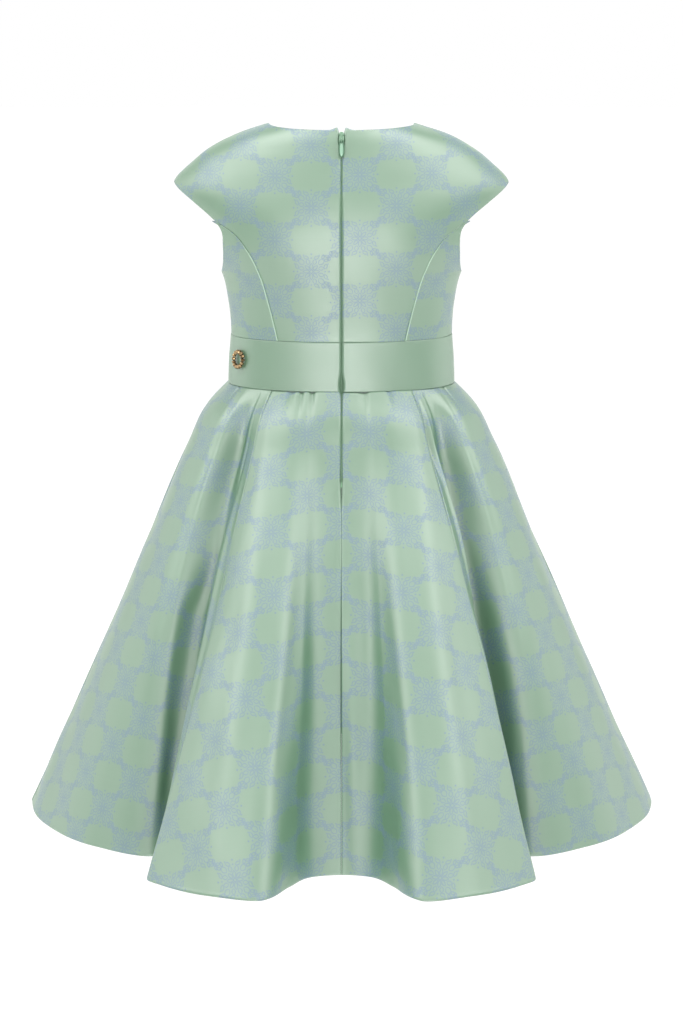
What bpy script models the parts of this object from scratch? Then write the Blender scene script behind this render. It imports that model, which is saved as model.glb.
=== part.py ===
"""A child's fit-and-flare dress in satin jacquard, filled out as when it is worn.

Metres, +Z up. The wearer faces +Y, so the zipped back looks to -Y, and the wearer's
left is -X. The origin lies midway between the two neck points of the shoulder seams,
where the dress hangs from the wearer's shoulders.
"""

import math

import bmesh
import bpy
import numpy as np
from mathutils import Matrix, Vector

# Cloth
WALL = 0.0016
SHARP_EDGE = math.radians(50)
SEAM_GAP = 0.0003
STEEPEST_LEAN = 2.5
BAND_PROUD = 0.0006

# A small step along a surface's parameters, for its slopes
STEP = 1e-4

# Heights of the seams, down from the neck points
SHOULDER_TIP = -0.0558
UNDERARM = -0.1394
BAND_TOP = -0.1996
BAND_BOTTOM = -0.2458
HEM = -0.6580

# Neck edge
BACK_NECK_DIP = 0.0025
FRONT_NECK_DROP = 0.0450
FRONT_NECK_ROUNDNESS = 1.4
NECK_DIP_START = -0.1200

# Rings of the bodice and the band: at each height an oval, pointed at the sides where its
# power is low and square where it is high
RING_COLUMNS = ("height", "half_width", "back_depth", "front_depth", "power")
RINGS = (
    (-0.2458, 0.1075, 0.0735, 0.0800, 2.20),
    (-0.2220, 0.1066, 0.0722, 0.0785, 2.20),
    (-0.1996, 0.1050, 0.0710, 0.0780, 2.20),
    (-0.1680, 0.1075, 0.0755, 0.0850, 2.20),
    (-0.1394, 0.1140, 0.0805, 0.0905, 2.20),
    (-0.1155, 0.1285, 0.0835, 0.0910, 2.20),
    (-0.0905, 0.1405, 0.0840, 0.0880, 2.10),
    (-0.0720, 0.1555, 0.0815, 0.0830, 1.90),
    (-0.0620, 0.1595, 0.0790, 0.0795, 1.82),
    (-0.0558, 0.1585, 0.0770, 0.0775, 1.80),
    (-0.0378, 0.1427, 0.0715, 0.0720, 1.84),
    (-0.0228, 0.1238, 0.0660, 0.0675, 1.94),
    (-0.0086, 0.0954, 0.0600, 0.0635, 2.10),
    (0.0000, 0.0684, 0.0550, 0.0605, 2.20),
)

# Seam between centre and side panels of the bodice, its distance from the middle
CURVED_SEAM_COLUMNS = ("height", "out")
CURVED_SEAM = (
    (-0.1996, 0.0600),
    (-0.1640, 0.0685),
    (-0.1350, 0.0775),
    (-0.1137, 0.0886),
    (-0.0970, 0.1030),
    (-0.0883, 0.1180),
)

# Armhole and hem of the cap sleeve: one oval in side view, from the underarm to the
# cap's tip, this far behind and in front of the side seam at its widest. It is round
# below that and pointed above.
ARMHOLE_REACH = 0.0510
ARMHOLE_ROUNDNESS = 2.0
CAP_ROUNDNESS = 1.6

# Rows and columns of the bodice panels
BELOW_ARM_ROWS = 4
ARMHOLE_ROWS = 14
SIDE_PANEL_ARMHOLE_ROWS = 8
SHOULDER_ROWS = 8
CENTRE_COLUMNS = 8
SIDE_COLUMNS = 5
BAND_ROWS = 2
BAND_COLUMNS = 10

# Folds of the skirt. Each row is a line that runs down the cloth from the band to the
# hem, in order from the centre back to the centre front. At the band it stands at an
# angle round the waist oval, and lower down at a distance out and a depth behind (-)
# or in front (+) of the side.
HIP = -0.3000
THIGH = -0.4000
FOLD_COLUMNS = (
    "name", "waist_angle", "hip_out", "hip_y", "thigh_out", "thigh_y", "hem_out", "hem_y", "steps",
)
FOLDS = (
    ("centre_back", 0.0, 0.0000, -0.1030, 0.0000, -0.1570, 0.0000, -0.2680, 1),
    ("notch_edge", 8.0, 0.0180, -0.1045, 0.0180, -0.1600, 0.0240, -0.2740, 2),
    ("lobe_rise", 14.0, 0.0320, -0.1075, 0.0330, -0.1680, 0.0440, -0.3050, 2),
    ("lobe_crest", 21.0, 0.0490, -0.1090, 0.0520, -0.1760, 0.0700, -0.3500, 3),
    ("lobe_outer", 29.0, 0.0670, -0.1050, 0.0780, -0.1720, 0.1160, -0.3370, 3),
    ("edge_inner", 33.5, 0.0785, -0.0985, 0.1020, -0.1580, 0.1630, -0.3000, 1),
    ("back_seam", 35.5, 0.0830, -0.0940, 0.1110, -0.1480, 0.1743, -0.2850, 1),
    ("edge_under", 37.5, 0.0860, -0.0880, 0.1135, -0.1370, 0.1720, -0.2680, 3),
    ("fold_under", 41.0, 0.0905, -0.0790, 0.1160, -0.1220, 0.1520, -0.2220, 2),
    ("fold_valley", 45.5, 0.0990, -0.0690, 0.1260, -0.1070, 0.1370, -0.1880, 2),
    ("side_rise", 50.5, 0.1100, -0.0735, 0.1390, -0.1100, 0.1480, -0.1900, 1),
    ("side_crest", 57.0, 0.1190, -0.0730, 0.1510, -0.1080, 0.1710, -0.2040, 3),
    ("side_outer", 66.0, 0.1310, -0.0590, 0.1670, -0.0900, 0.2295, -0.1700, 4),
    ("hip_back", 78.0, 0.1415, -0.0310, 0.1830, -0.0500, 0.2830, -0.0860, 4),
    ("side_seam", 89.0, 0.1445, -0.0020, 0.1870, -0.0030, 0.3020, 0.0000, 4),
    ("hip_front", 101.0, 0.1415, 0.0290, 0.1830, 0.0470, 0.2880, 0.0880, 4),
    ("front_outer", 113.0, 0.1310, 0.0580, 0.1670, 0.0860, 0.2430, 0.1620, 3),
    ("front_crest", 122.5, 0.1180, 0.0730, 0.1490, 0.1050, 0.1950, 0.1930, 1),
    ("front_rise", 128.5, 0.1085, 0.0750, 0.1370, 0.1070, 0.1660, 0.1880, 2),
    ("front_valley", 133.5, 0.0990, 0.0720, 0.1250, 0.1060, 0.1480, 0.1800, 2),
    ("front_under", 138.5, 0.0915, 0.0805, 0.1160, 0.1200, 0.1600, 0.2090, 2),
    ("edge_front", 141.5, 0.0870, 0.0870, 0.1130, 0.1320, 0.1755, 0.2470, 1),
    ("front_seam", 143.5, 0.0835, 0.0920, 0.1100, 0.1420, 0.1770, 0.2640, 1),
    ("edge_back", 146.0, 0.0785, 0.0970, 0.1005, 0.1520, 0.1660, 0.2790, 2),
    ("front_lobe", 152.0, 0.0630, 0.1050, 0.0750, 0.1660, 0.1210, 0.3080, 2),
    ("front_top", 161.0, 0.0410, 0.1100, 0.0470, 0.1720, 0.0730, 0.3160, 2),
    ("front_dip", 171.0, 0.0190, 0.1085, 0.0210, 0.1640, 0.0310, 0.2920, 1),
    ("centre_front", 180.0, 0.0000, 0.1060, 0.0000, 0.1600, 0.0000, 0.2820, 0),
)
YOKE = -0.2660
YOKE_SHARE = 0.53
SKIRT_ROWS = (0.0, 0.02, 0.05, 0.09, 0.14, 0.20, 0.28, 0.37, 0.47, 0.58, 0.69, 0.80, 0.90, 1.0)

# Concealed zip
ZIP_HALF_GAP = 0.0013
ZIP_MOUTH = 0.0014
ZIP_MOUTH_HEIGHT = -0.2370
ZIP_MOUTH_REACH = 0.0170
ZIP_THROAT = 0.0019
ZIP_THROAT_DEPTH = 0.0260
ZIP_THROAT_TAPER = 0.0130
ZIP_END = -0.3300
TAPE_HALF_WIDTH = 0.0110
TAPE_THICKNESS = 0.0008
TAPE_CLEARANCE = 0.0008
TAPE_BELOW_NECK = 0.0028
COIL_HALF_WIDTH = 0.0008
COIL_SUNK = 0.0004

# Zip slider and its pull tab
HINGE_LEVEL = -0.0105
HINGE_HEIGHT = 0.00295
SLIDER_LENGTH = 0.0118
SLIDER_WIDTH = 0.0044
SLIDER_THICKNESS = 0.0015
SLIDER_ABOVE_HINGE = 0.0088
SLIDER_ROUNDING = 0.0004
LUG_RADIUS = 0.00175
LUG_WIRE = 0.00045
PULL_LENGTH = 0.0170
PULL_WIDTH = 0.0059
PULL_THICKNESS = 0.0012
PULL_BAR = 0.0005
PULL_EYE_LENGTH = 0.0022
PULL_EYE_WIDTH = 0.0019
PULL_FOOT_SWELL = 0.13
PULL_WIDEST = 0.60
PULL_TILT = math.radians(6.0)
PULL_OUTLINE_POINTS = 40
EYE_OUTLINE_POINTS = 16

# Ring of beads on the band, at the wearer's left back
BEAD_RING_OUT = 0.0955
BEAD_RING_HEIGHT = -0.2200
BEAD_RING_RADIUS = 0.0080
BEAD_RADIUS = 0.0015
BEADS = 14
BETWEEN_BEADS = 0.72


def linear(red, green, blue):
    """Turns a display colour of 0 to 255 a channel into Blender's linear colour."""
    channels = np.array((red, green, blue)) / 255
    low = channels / 12.92
    high = ((channels + 0.055) / 1.055) ** 2.4
    return (*np.where(channels <= 0.04045, low, high), 1.0)


def make_material(name, colour, roughness, metallic):
    material = bpy.data.materials.new(name)
    material.use_nodes = True
    shader = material.node_tree.nodes["Principled BSDF"]
    shader.inputs["Base Color"].default_value = colour
    shader.inputs["Roughness"].default_value = roughness
    shader.inputs["Metallic"].default_value = metallic
    return material


def through(knots, values, at):
    """A smooth curve through values at the knots: cubic spans, each knot's slope that of the
    parabola through it and its two neighbours."""
    knots = np.asarray(knots, float)
    values = np.asarray(values, float)
    span = np.diff(knots)
    slope = np.diff(values, axis=0) / span.reshape(-1, *[1] * (values.ndim - 1))
    tangent = np.empty_like(values)
    before = (span[:-1] / (span[:-1] + span[1:])).reshape(-1, *[1] * (values.ndim - 1))
    tangent[1:-1] = slope[:-1] * (1 - before) + slope[1:] * before
    tangent[0] = 1.5 * slope[0] - 0.5 * tangent[1]
    tangent[-1] = 1.5 * slope[-1] - 0.5 * tangent[-2]
    at = np.asarray(at, float)
    place = np.clip(np.searchsorted(knots, at, side="right") - 1, 0, len(span) - 1)
    width = span[place]
    u = (at - knots[place]) / width
    shape = at.shape + (1,) * (values.ndim - 1)
    u, width = u.reshape(shape), width.reshape(shape)
    return (
        (2 * u**3 - 3 * u**2 + 1) * values[place]
        + (u**3 - 2 * u**2 + u) * width * tangent[place]
        + (3 * u**2 - 2 * u**3) * values[place + 1]
        + (u**3 - u**2) * width * tangent[place + 1]
    )


def column(table, columns, name):
    return np.array([row[columns.index(name)] for row in table], float)


def ring_size(name, height):
    heights = column(RINGS, RING_COLUMNS, "height")
    return through(heights, column(RINGS, RING_COLUMNS, name), height)


def oval(angle, half_width, back_depth, front_depth, power):
    """The point of an oval at an angle from the centre back: the sine gives the distance
    out and the cosine the depth, both raised to 2 / power."""
    out = half_width * np.sign(np.sin(angle)) * np.abs(np.sin(angle)) ** (2 / power)
    behind = np.sign(np.cos(angle)) * np.abs(np.cos(angle)) ** (2 / power)
    return out, -behind * np.where(behind > 0, back_depth, front_depth)


def bodice(angle, level):
    """The outer face of the bodice and the band. Each level is an oval ring, which sinks
    towards the centre as it nears the neck: a little behind, down the surface, and more in
    front, straight down."""
    angle, level = np.broadcast_arrays(np.asarray(angle, float), np.asarray(level, float))
    cosine = np.cos(angle)
    near_neck = np.clip(1 - level / NECK_DIP_START, 0, 1) ** 2
    height = level - BACK_NECK_DIP * np.maximum(cosine, 0) ** 2 * near_neck
    drop = FRONT_NECK_DROP * np.maximum(-cosine, 0) ** FRONT_NECK_ROUNDNESS * near_neck
    sizes = [ring_size(name, height) for name in RING_COLUMNS[1:]]
    out, depth = oval(angle, *sizes)
    return np.stack([out, depth, height - drop], axis=-1)


def angle_at(out, level, in_front=False):
    """The angle at which the ring of a level stands this far out from the middle."""
    share = np.clip(out / ring_size("half_width", level), 0, 1)
    angle = np.arcsin(share ** (ring_size("power", level) / 2))
    return math.pi - angle if in_front else angle


def face_normals(surface, first, second):
    """Unit normals of a surface of two parameters, from small steps along both."""
    along = surface(first + STEP, second) - surface(first - STEP, second)
    across = surface(first, second + STEP) - surface(first, second - STEP)
    normal = np.cross(along, across)
    return normal / np.linalg.norm(normal, axis=-1, keepdims=True)


def bodice_normals(angle, level):
    return face_normals(bodice, angle, np.minimum(level, -STEP))


FOLD_NAMES = [row[0] for row in FOLDS]


def fold_lines():
    """Each fold line's points (out, y) at the band, yoke, hip, thigh and hem."""
    waist_sizes = [ring_size(name, BAND_BOTTOM) for name in RING_COLUMNS[1:]]
    angles = np.radians(column(FOLDS, FOLD_COLUMNS, "waist_angle"))
    waist = np.stack(oval(angles, *waist_sizes), axis=-1)
    hip, thigh, hem = (
        np.stack([column(FOLDS, FOLD_COLUMNS, part + "_out"), column(FOLDS, FOLD_COLUMNS, part + "_y")], -1)
        for part in ("hip", "thigh", "hem")
    )
    yoke = waist + YOKE_SHARE * (hip - waist)
    return np.stack([waist, yoke, hip, thigh, hem])


FOLD_LINES = fold_lines()
FOLD_HEIGHTS = np.array([BAND_BOTTOM, YOKE, HIP, THIGH, HEM])
MIRROR_OUT = np.array([-1.0, 1.0])


def round_places():
    """Where each fold line stands along the hem, measured round it from the centre back."""
    steps = np.linalg.norm(np.diff(FOLD_LINES[-1], axis=0), axis=1)
    return np.concatenate([[0], np.cumsum(steps)])


ROUND_PLACES = round_places()


def skirt(place, drop):
    """The outer face of the skirt. Fold lines run smoothly down through their heights, and
    at each height a smooth curve joins them round the skirt. The lines next to the centre
    back and front are mirrored across it, so that both halves meet squarely."""
    place, drop = np.broadcast_arrays(np.asarray(place, float), np.asarray(drop, float))
    rows, back = np.unique(drop.ravel(), return_inverse=True)
    heights = BAND_BOTTOM + (HEM - BAND_BOTTOM) * rows
    lines = through(-FOLD_HEIGHTS, FOLD_LINES, -heights)
    lines = np.concatenate([lines[:, 2:0:-1] * MIRROR_OUT, lines, lines[:, -2:-4:-1] * MIRROR_OUT], axis=1)
    end = ROUND_PLACES[-1]
    knots = np.concatenate([-ROUND_PLACES[2:0:-1], ROUND_PLACES, 2 * end - ROUND_PLACES[-2:-4:-1]])
    points = np.empty((place.size, 3))
    flat_place = place.ravel()
    for row, height in enumerate(heights):
        here = np.flatnonzero(back.ravel() == row)
        points[here, :2] = through(knots, lines[row], flat_place[here])
        points[here, 2] = height
    return points.reshape(*place.shape, 3)


def skirt_normals(place, drop):
    """Normals of the skirt, turned round because the drop runs downwards."""
    return -face_normals(skirt, place, np.clip(drop, STEP, 1 - STEP))


def wall_mesh(name, outer, inner):
    """A closed wall between two grids of points, with its rim, its faces pointing out."""
    rows, columns = outer.shape[:2]
    index = np.arange(rows * columns).reshape(rows, columns)
    low_left, low_right = index[:-1, :-1].ravel(), index[:-1, 1:].ravel()
    top_left, top_right = index[1:, :-1].ravel(), index[1:, 1:].ravel()
    face = np.concatenate([
        np.stack([low_left, low_right, top_right], 1),
        np.stack([low_left, top_right, top_left], 1),
    ])
    rim = np.concatenate([index[0], index[1:, -1], index[-1, -2::-1], index[-2:0:-1, 0]])
    after = np.roll(rim, -1)
    behind = rows * columns
    sides = np.concatenate([
        np.stack([rim, rim + behind, after + behind], 1),
        np.stack([rim, after + behind, after], 1),
    ])
    faces = np.concatenate([face, face[:, ::-1] + behind, sides])
    points = np.concatenate([outer.reshape(-1, 3), inner.reshape(-1, 3)])
    corners = points[faces]
    if np.linalg.det(corners).sum() < 0:
        faces = faces[:, ::-1]
    mesh = bpy.data.meshes.new(name)
    mesh.from_pydata(points.tolist(), [], faces.tolist())
    mesh.shade_smooth()
    mesh.set_sharp_from_angle(angle=SHARP_EDGE)
    return mesh


def add_object(collection, name, mesh, material):
    piece = bpy.data.objects.new(name, mesh)
    piece.data.materials.append(material)
    collection.objects.link(piece)
    return piece


def add_wall(collection, name, points, normals, material, side=1, proud=0.0):
    """A cloth panel. Side -1 mirrors it to the wearer's left."""
    turn = np.array([side, 1, 1])
    outer = points + proud * normals
    inner = points - WALL * normals
    return add_object(collection, name, wall_mesh(name, outer * turn, inner * turn), material)


def armhole_levels():
    """Levels up the armhole, at even turns of its oval from the underarm to the cap's tip."""
    turn = np.linspace(math.pi, 0, ARMHOLE_ROWS + 1)
    return (SHOULDER_TIP + UNDERARM) / 2 + (SHOULDER_TIP - UNDERARM) / 2 * np.cos(turn)


def side_levels():
    """Rows of the side panels, from the band up to where the curved seam meets the armhole."""
    below = np.linspace(BAND_TOP, UNDERARM, BELOW_ARM_ROWS + 1)[:-1]
    return np.concatenate([below, armhole_levels()[:SIDE_PANEL_ARMHOLE_ROWS + 1]])


def centre_levels():
    """Rows of the centre panels: those of the side panels, then on up to the neck edge."""
    beside_arm = armhole_levels()[SIDE_PANEL_ARMHOLE_ROWS + 1:]
    shoulder = np.linspace(SHOULDER_TIP, 0, SHOULDER_ROWS + 1)[1:]
    return np.concatenate([side_levels(), beside_arm, shoulder])


def curved_seam_out(height):
    heights = column(CURVED_SEAM, CURVED_SEAM_COLUMNS, "height")
    return through(heights, column(CURVED_SEAM, CURVED_SEAM_COLUMNS, "out"), height)


def curved_seam_gap(height):
    """Half the seam gap, measured level: it grows where the seam leans."""
    lean = (curved_seam_out(height + STEP) - curved_seam_out(height - STEP)) / (2 * STEP)
    return SEAM_GAP / 2 * np.sqrt(1 + np.minimum(lean, STEEPEST_LEAN) ** 2)


def zip_half_gap(height):
    """Half the gap over the zip, which opens a little in the lower half of the band and
    round the slider at the neck."""
    mouth = np.clip(1 - ((height - ZIP_MOUTH_HEIGHT) / ZIP_MOUTH_REACH) ** 2, 0, 1) ** 2
    taper = np.clip((height + ZIP_THROAT_DEPTH) / ZIP_THROAT_TAPER, 0, 1)
    throat = taper**2 * (3 - 2 * taper)
    opened = ZIP_HALF_GAP + ZIP_MOUTH * mouth + ZIP_THROAT * throat
    return np.where(height > ZIP_END, opened, SEAM_GAP / 2)


def side_angle(reach, level, in_front=False):
    """The angle at which the ring of a level lies this far behind the side seam, or in front."""
    depth = ring_size("front_depth" if in_front else "back_depth", level)
    angle = np.arccos(np.clip(reach / depth, 0, 1) ** (ring_size("power", level) / 2))
    return math.pi - angle if in_front else angle


def armhole_angle(level, in_front):
    """The outer edge of the cloth: half a gap short of the side seam and of the shoulder
    seam, and between them the armhole's oval, seen from the side."""
    middle, half_height = (SHOULDER_TIP + UNDERARM) / 2, (SHOULDER_TIP - UNDERARM) / 2
    share = np.abs(np.clip((level - middle) / half_height, -1, 1))
    power = np.where(level < middle, ARMHOLE_ROUNDNESS, CAP_ROUNDNESS)
    reach = ARMHOLE_REACH * (1 - share**power) ** (1 / power)
    return side_angle(np.maximum(reach, SEAM_GAP / 2), level, in_front)


def seam_angle(level, in_front, side):
    """The curved seam, less half a gap (side -1) or more by half a gap (side 1)."""
    return angle_at(curved_seam_out(level) + side * curved_seam_gap(level), level, in_front)


def across_panel(first, last, columns):
    """Angles in even steps from one edge of a panel to the other, a row for each level."""
    return first[:, None] + (last - first)[:, None] * np.linspace(0, 1, columns + 1)


def add_bodice_wall(collection, name, angle, levels, material, side=1, proud=0.0):
    level = np.broadcast_to(levels[:, None], angle.shape)
    points, normals = bodice(angle, level), bodice_normals(angle, level)
    add_wall(collection, name, points, normals, material, side, proud)


def add_bodice(collection, cloth):
    levels = centre_levels()
    levels[0] += SEAM_GAP
    beside_seam = levels < armhole_levels()[SIDE_PANEL_ARMHOLE_ROWS] + SEAM_GAP
    back, front = (
        np.where(beside_seam, seam_angle(levels, in_front, -1), armhole_angle(levels, in_front))
        for in_front in (False, True)
    )
    angle = across_panel(angle_at(zip_half_gap(levels), levels), back, CENTRE_COLUMNS)
    for side, hand in ((-1, "left"), (1, "right")):
        add_bodice_wall(collection, "bodice_centre_back_" + hand, angle, levels, cloth, side)
    half = across_panel(front, np.full_like(front, math.pi), CENTRE_COLUMNS)
    angle = np.concatenate([half, 2 * math.pi - half[:, -2::-1]], axis=1)
    add_bodice_wall(collection, "bodice_centre_front", angle, levels, cloth)


def add_side_panels(collection, cloth):
    levels = side_levels()
    levels[0] += SEAM_GAP
    for in_front, part in ((False, "back"), (True, "front")):
        angle = across_panel(seam_angle(levels, in_front, 1), armhole_angle(levels, in_front), SIDE_COLUMNS)
        for side, hand in ((-1, "left"), (1, "right")):
            add_bodice_wall(collection, f"bodice_side_{part}_{hand}", angle, levels, cloth, side)


def add_waistband(collection, satin):
    levels = np.linspace(BAND_BOTTOM, BAND_TOP, BAND_ROWS + 1)
    side_seam = side_angle(SEAM_GAP / 2, levels)
    angle = across_panel(angle_at(zip_half_gap(levels), levels), side_seam, BAND_COLUMNS)
    for side, hand in ((-1, "left"), (1, "right")):
        add_bodice_wall(collection, "waistband_back_" + hand, angle, levels, satin, side, BAND_PROUD)
    angle = across_panel(math.pi - side_seam, math.pi + side_seam, 2 * BAND_COLUMNS)
    add_bodice_wall(collection, "waistband_front", angle, levels, satin, 1, BAND_PROUD)


def fold_stations(first, last):
    """Places round the skirt from one fold line to another, each span in its own steps."""
    start, end = FOLD_NAMES.index(first), FOLD_NAMES.index(last)
    spans = [
        np.linspace(ROUND_PLACES[i], ROUND_PLACES[i + 1], FOLDS[i][-1] + 1)[:-1]
        for i in range(start, end)
    ]
    return np.concatenate([*spans, [ROUND_PLACES[end]]])


def cloth_per_place(place, drops):
    """How much cloth lies round the skirt for each metre of place, at each drop."""
    reach = skirt(place + STEP, drops) - skirt(place - STEP, drops)
    return np.linalg.norm(reach, axis=-1) / (2 * STEP)


def skirt_grid(first, last):
    """Places and drops of a panel's points, its edges half a seam gap short of the seams."""
    drops = np.array(SKIRT_ROWS)
    drops[0] = SEAM_GAP / (BAND_BOTTOM - HEM)
    stations = fold_stations(first, last)
    heights = BAND_BOTTOM + (HEM - BAND_BOTTOM) * drops
    low_gap = zip_half_gap(heights) if first == "centre_back" else np.full_like(drops, SEAM_GAP / 2)
    low = stations[0] + low_gap / cloth_per_place(stations[0], drops)
    high = stations[-1] - SEAM_GAP / 2 / cloth_per_place(stations[-1], drops)
    place = np.broadcast_to(stations, (len(drops), len(stations))).copy()
    place[:, 0] = low
    place[:, -1] = high
    return place, np.broadcast_to(drops[:, None], place.shape)


def add_skirt(collection, cloth):
    panels = (
        ("skirt_back", "centre_back", "back_seam"),
        ("skirt_side_back", "back_seam", "side_seam"),
        ("skirt_side_front", "side_seam", "front_seam"),
    )
    for name, first, last in panels:
        place, drop = skirt_grid(first, last)
        points, normals = skirt(place, drop), skirt_normals(place, drop)
        for side, hand in ((-1, "left"), (1, "right")):
            add_wall(collection, f"{name}_{hand}", points, normals, cloth, side)
    place, drop = skirt_grid("front_seam", "centre_front")
    place[:, -1] = ROUND_PLACES[-1]
    half, half_normals = skirt(place, drop), skirt_normals(place, drop)
    turn = np.array([-1, 1, 1])
    points = np.concatenate([half, half[:, -2::-1] * turn], axis=1)
    normals = np.concatenate([half_normals, half_normals[:, -2::-1] * turn], axis=1)
    add_wall(collection, "skirt_front", points, normals, cloth)


def centre_back_line(heights):
    """The outer face along the centre back, its points and its normals, from the neck edge
    over the band and down the skirt."""
    on_skirt = heights < BAND_BOTTOM
    drop = np.clip((heights - BAND_BOTTOM) / (HEM - BAND_BOTTOM), 0, 1)
    level = np.clip(heights, BAND_BOTTOM, 0.0)
    points = np.where(on_skirt[:, None], skirt(0.0, drop), bodice(0.0, level))
    normals = np.where(on_skirt[:, None], skirt_normals(0.0, drop), bodice_normals(0.0, level))
    return points, normals


def add_zip_tape(collection, material):
    """Tape and coil in one: a T-shaped section carried down the centre back, its stem the
    coil that stands in the gap between the panels."""
    band = np.linspace(BAND_TOP, BAND_BOTTOM, BAND_ROWS + 1)[1:]
    levels = np.concatenate([centre_levels()[::-1], band])
    levels[0] -= TAPE_BELOW_NECK
    down_skirt = BAND_BOTTOM + (HEM - BAND_BOTTOM) * np.array(SKIRT_ROWS[1:])
    heights = np.concatenate([levels, down_skirt[down_skirt > ZIP_END]])
    points, normals = centre_back_line(heights)
    back = WALL + TAPE_CLEARANCE
    section = (
        (-TAPE_HALF_WIDTH, back), (-COIL_HALF_WIDTH, back), (-COIL_HALF_WIDTH, COIL_SUNK),
        (COIL_HALF_WIDTH, COIL_SUNK), (COIL_HALF_WIDTH, back), (TAPE_HALF_WIDTH, back),
        (TAPE_HALF_WIDTH, back + TAPE_THICKNESS), (-TAPE_HALF_WIDTH, back + TAPE_THICKNESS),
    )
    shape = bmesh.new()
    rings = []
    for point, normal in zip(points, normals):
        places = [Vector(point) + Vector((across, 0, 0)) - sunk * Vector(normal) for across, sunk in section]
        rings.append([shape.verts.new(place) for place in places])
    for upper, lower in zip(rings, rings[1:]):
        for i in range(len(section)):
            j = (i + 1) % len(section)
            shape.faces.new((upper[i], upper[j], lower[j], lower[i]))
    shape.faces.new(rings[0])
    shape.faces.new(rings[-1])
    bmesh.ops.recalc_face_normals(shape, faces=shape.faces)
    mesh = bpy.data.meshes.new("zip_tape")
    shape.to_mesh(mesh)
    shape.free()
    add_object(collection, "zip_tape", mesh, material)


def hinge_frame():
    """The pull's hinge: local X runs across the back, local Y up along the cloth and
    local Z out of it, from a place a little above the cloth."""
    points, normals = centre_back_line(np.array([HINGE_LEVEL]))
    outward = Vector(normals[0])
    across = Vector((1, 0, 0))
    rotation = Matrix((across, outward.cross(across), outward)).transposed()
    return Matrix.Translation(Vector(points[0]) + HINGE_HEIGHT * outward) @ rotation.to_4x4()


def add_slider(collection, helpers, material):
    """The slider's plate, with a round lug standing on it that the pull hangs from."""
    bpy.ops.mesh.primitive_cube_add(size=1)
    plate = bpy.context.object
    plate.name = "zip_slider"
    plate.data.transform(Matrix.Diagonal((SLIDER_WIDTH, SLIDER_LENGTH, SLIDER_THICKNESS, 1)))
    middle = SLIDER_ABOVE_HINGE - SLIDER_LENGTH / 2
    below_hinge = HINGE_HEIGHT - SEAM_GAP - SLIDER_THICKNESS / 2
    plate.data.transform(Matrix.Translation((0, middle, -below_hinge)))
    bevel = plate.modifiers.new("rounded_edges", "BEVEL")
    bevel.width = SLIDER_ROUNDING
    bevel.segments = 2
    bpy.ops.mesh.primitive_torus_add(
        major_radius=LUG_RADIUS, minor_radius=LUG_WIRE, major_segments=24, minor_segments=8,
    )
    lug = bpy.context.object
    lug.name = "slider_lug"
    lug.data.transform(Matrix.Rotation(math.pi / 2, 4, "Y"))
    lug.hide_render = True
    lug.display_type = "WIRE"
    join = plate.modifiers.new("lug", "BOOLEAN")
    join.operation = "UNION"
    join.object = lug
    plate.data.materials.append(material)
    for piece, home in ((plate, collection), (lug, helpers)):
        piece.matrix_world = hinge_frame()
        for other in list(piece.users_collection):
            other.objects.unlink(piece)
        home.objects.link(piece)


def drop_outline():
    """A long teardrop, hung from its top: an oval that is a little fuller towards its foot."""
    turn = np.linspace(0, 2 * math.pi, PULL_OUTLINE_POINTS, endpoint=False)
    share = (1 - np.cos(turn)) / 2
    across = PULL_WIDTH / 2 * np.sin(turn) * (1 + PULL_FOOT_SWELL * (share - PULL_WIDEST))
    return np.stack([across, PULL_BAR - PULL_LENGTH * share], axis=-1)


def eye_outline():
    """The eye in the pull's top, an oval that the lug passes through."""
    turn = np.linspace(0, 2 * math.pi, EYE_OUTLINE_POINTS, endpoint=False)
    middle = -PULL_BAR - PULL_EYE_LENGTH / 2
    across, along = PULL_EYE_WIDTH / 2 * np.cos(turn), PULL_EYE_LENGTH / 2 * np.sin(turn)
    return np.stack([across, middle + along], axis=-1)


def add_pull(collection, material):
    """The pull tab: a flat teardrop with an eye, its origin on the hinge, its foot tilted
    towards the cloth."""
    outline = bpy.data.curves.new("zip_pull", "CURVE")
    outline.dimensions = "2D"
    outline.fill_mode = "BOTH"
    outline.extrude = PULL_THICKNESS / 2
    for points in (drop_outline(), eye_outline()):
        spline = outline.splines.new("POLY")
        spline.points.add(len(points) - 1)
        for point, (across, along) in zip(spline.points, points):
            point.co = (across, along, 0, 1)
        spline.use_cyclic_u = True
    pull = add_object(collection, "zip_pull", outline, material)
    pull.matrix_world = hinge_frame() @ Matrix.Rotation(PULL_TILT, 4, "X")


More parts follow.
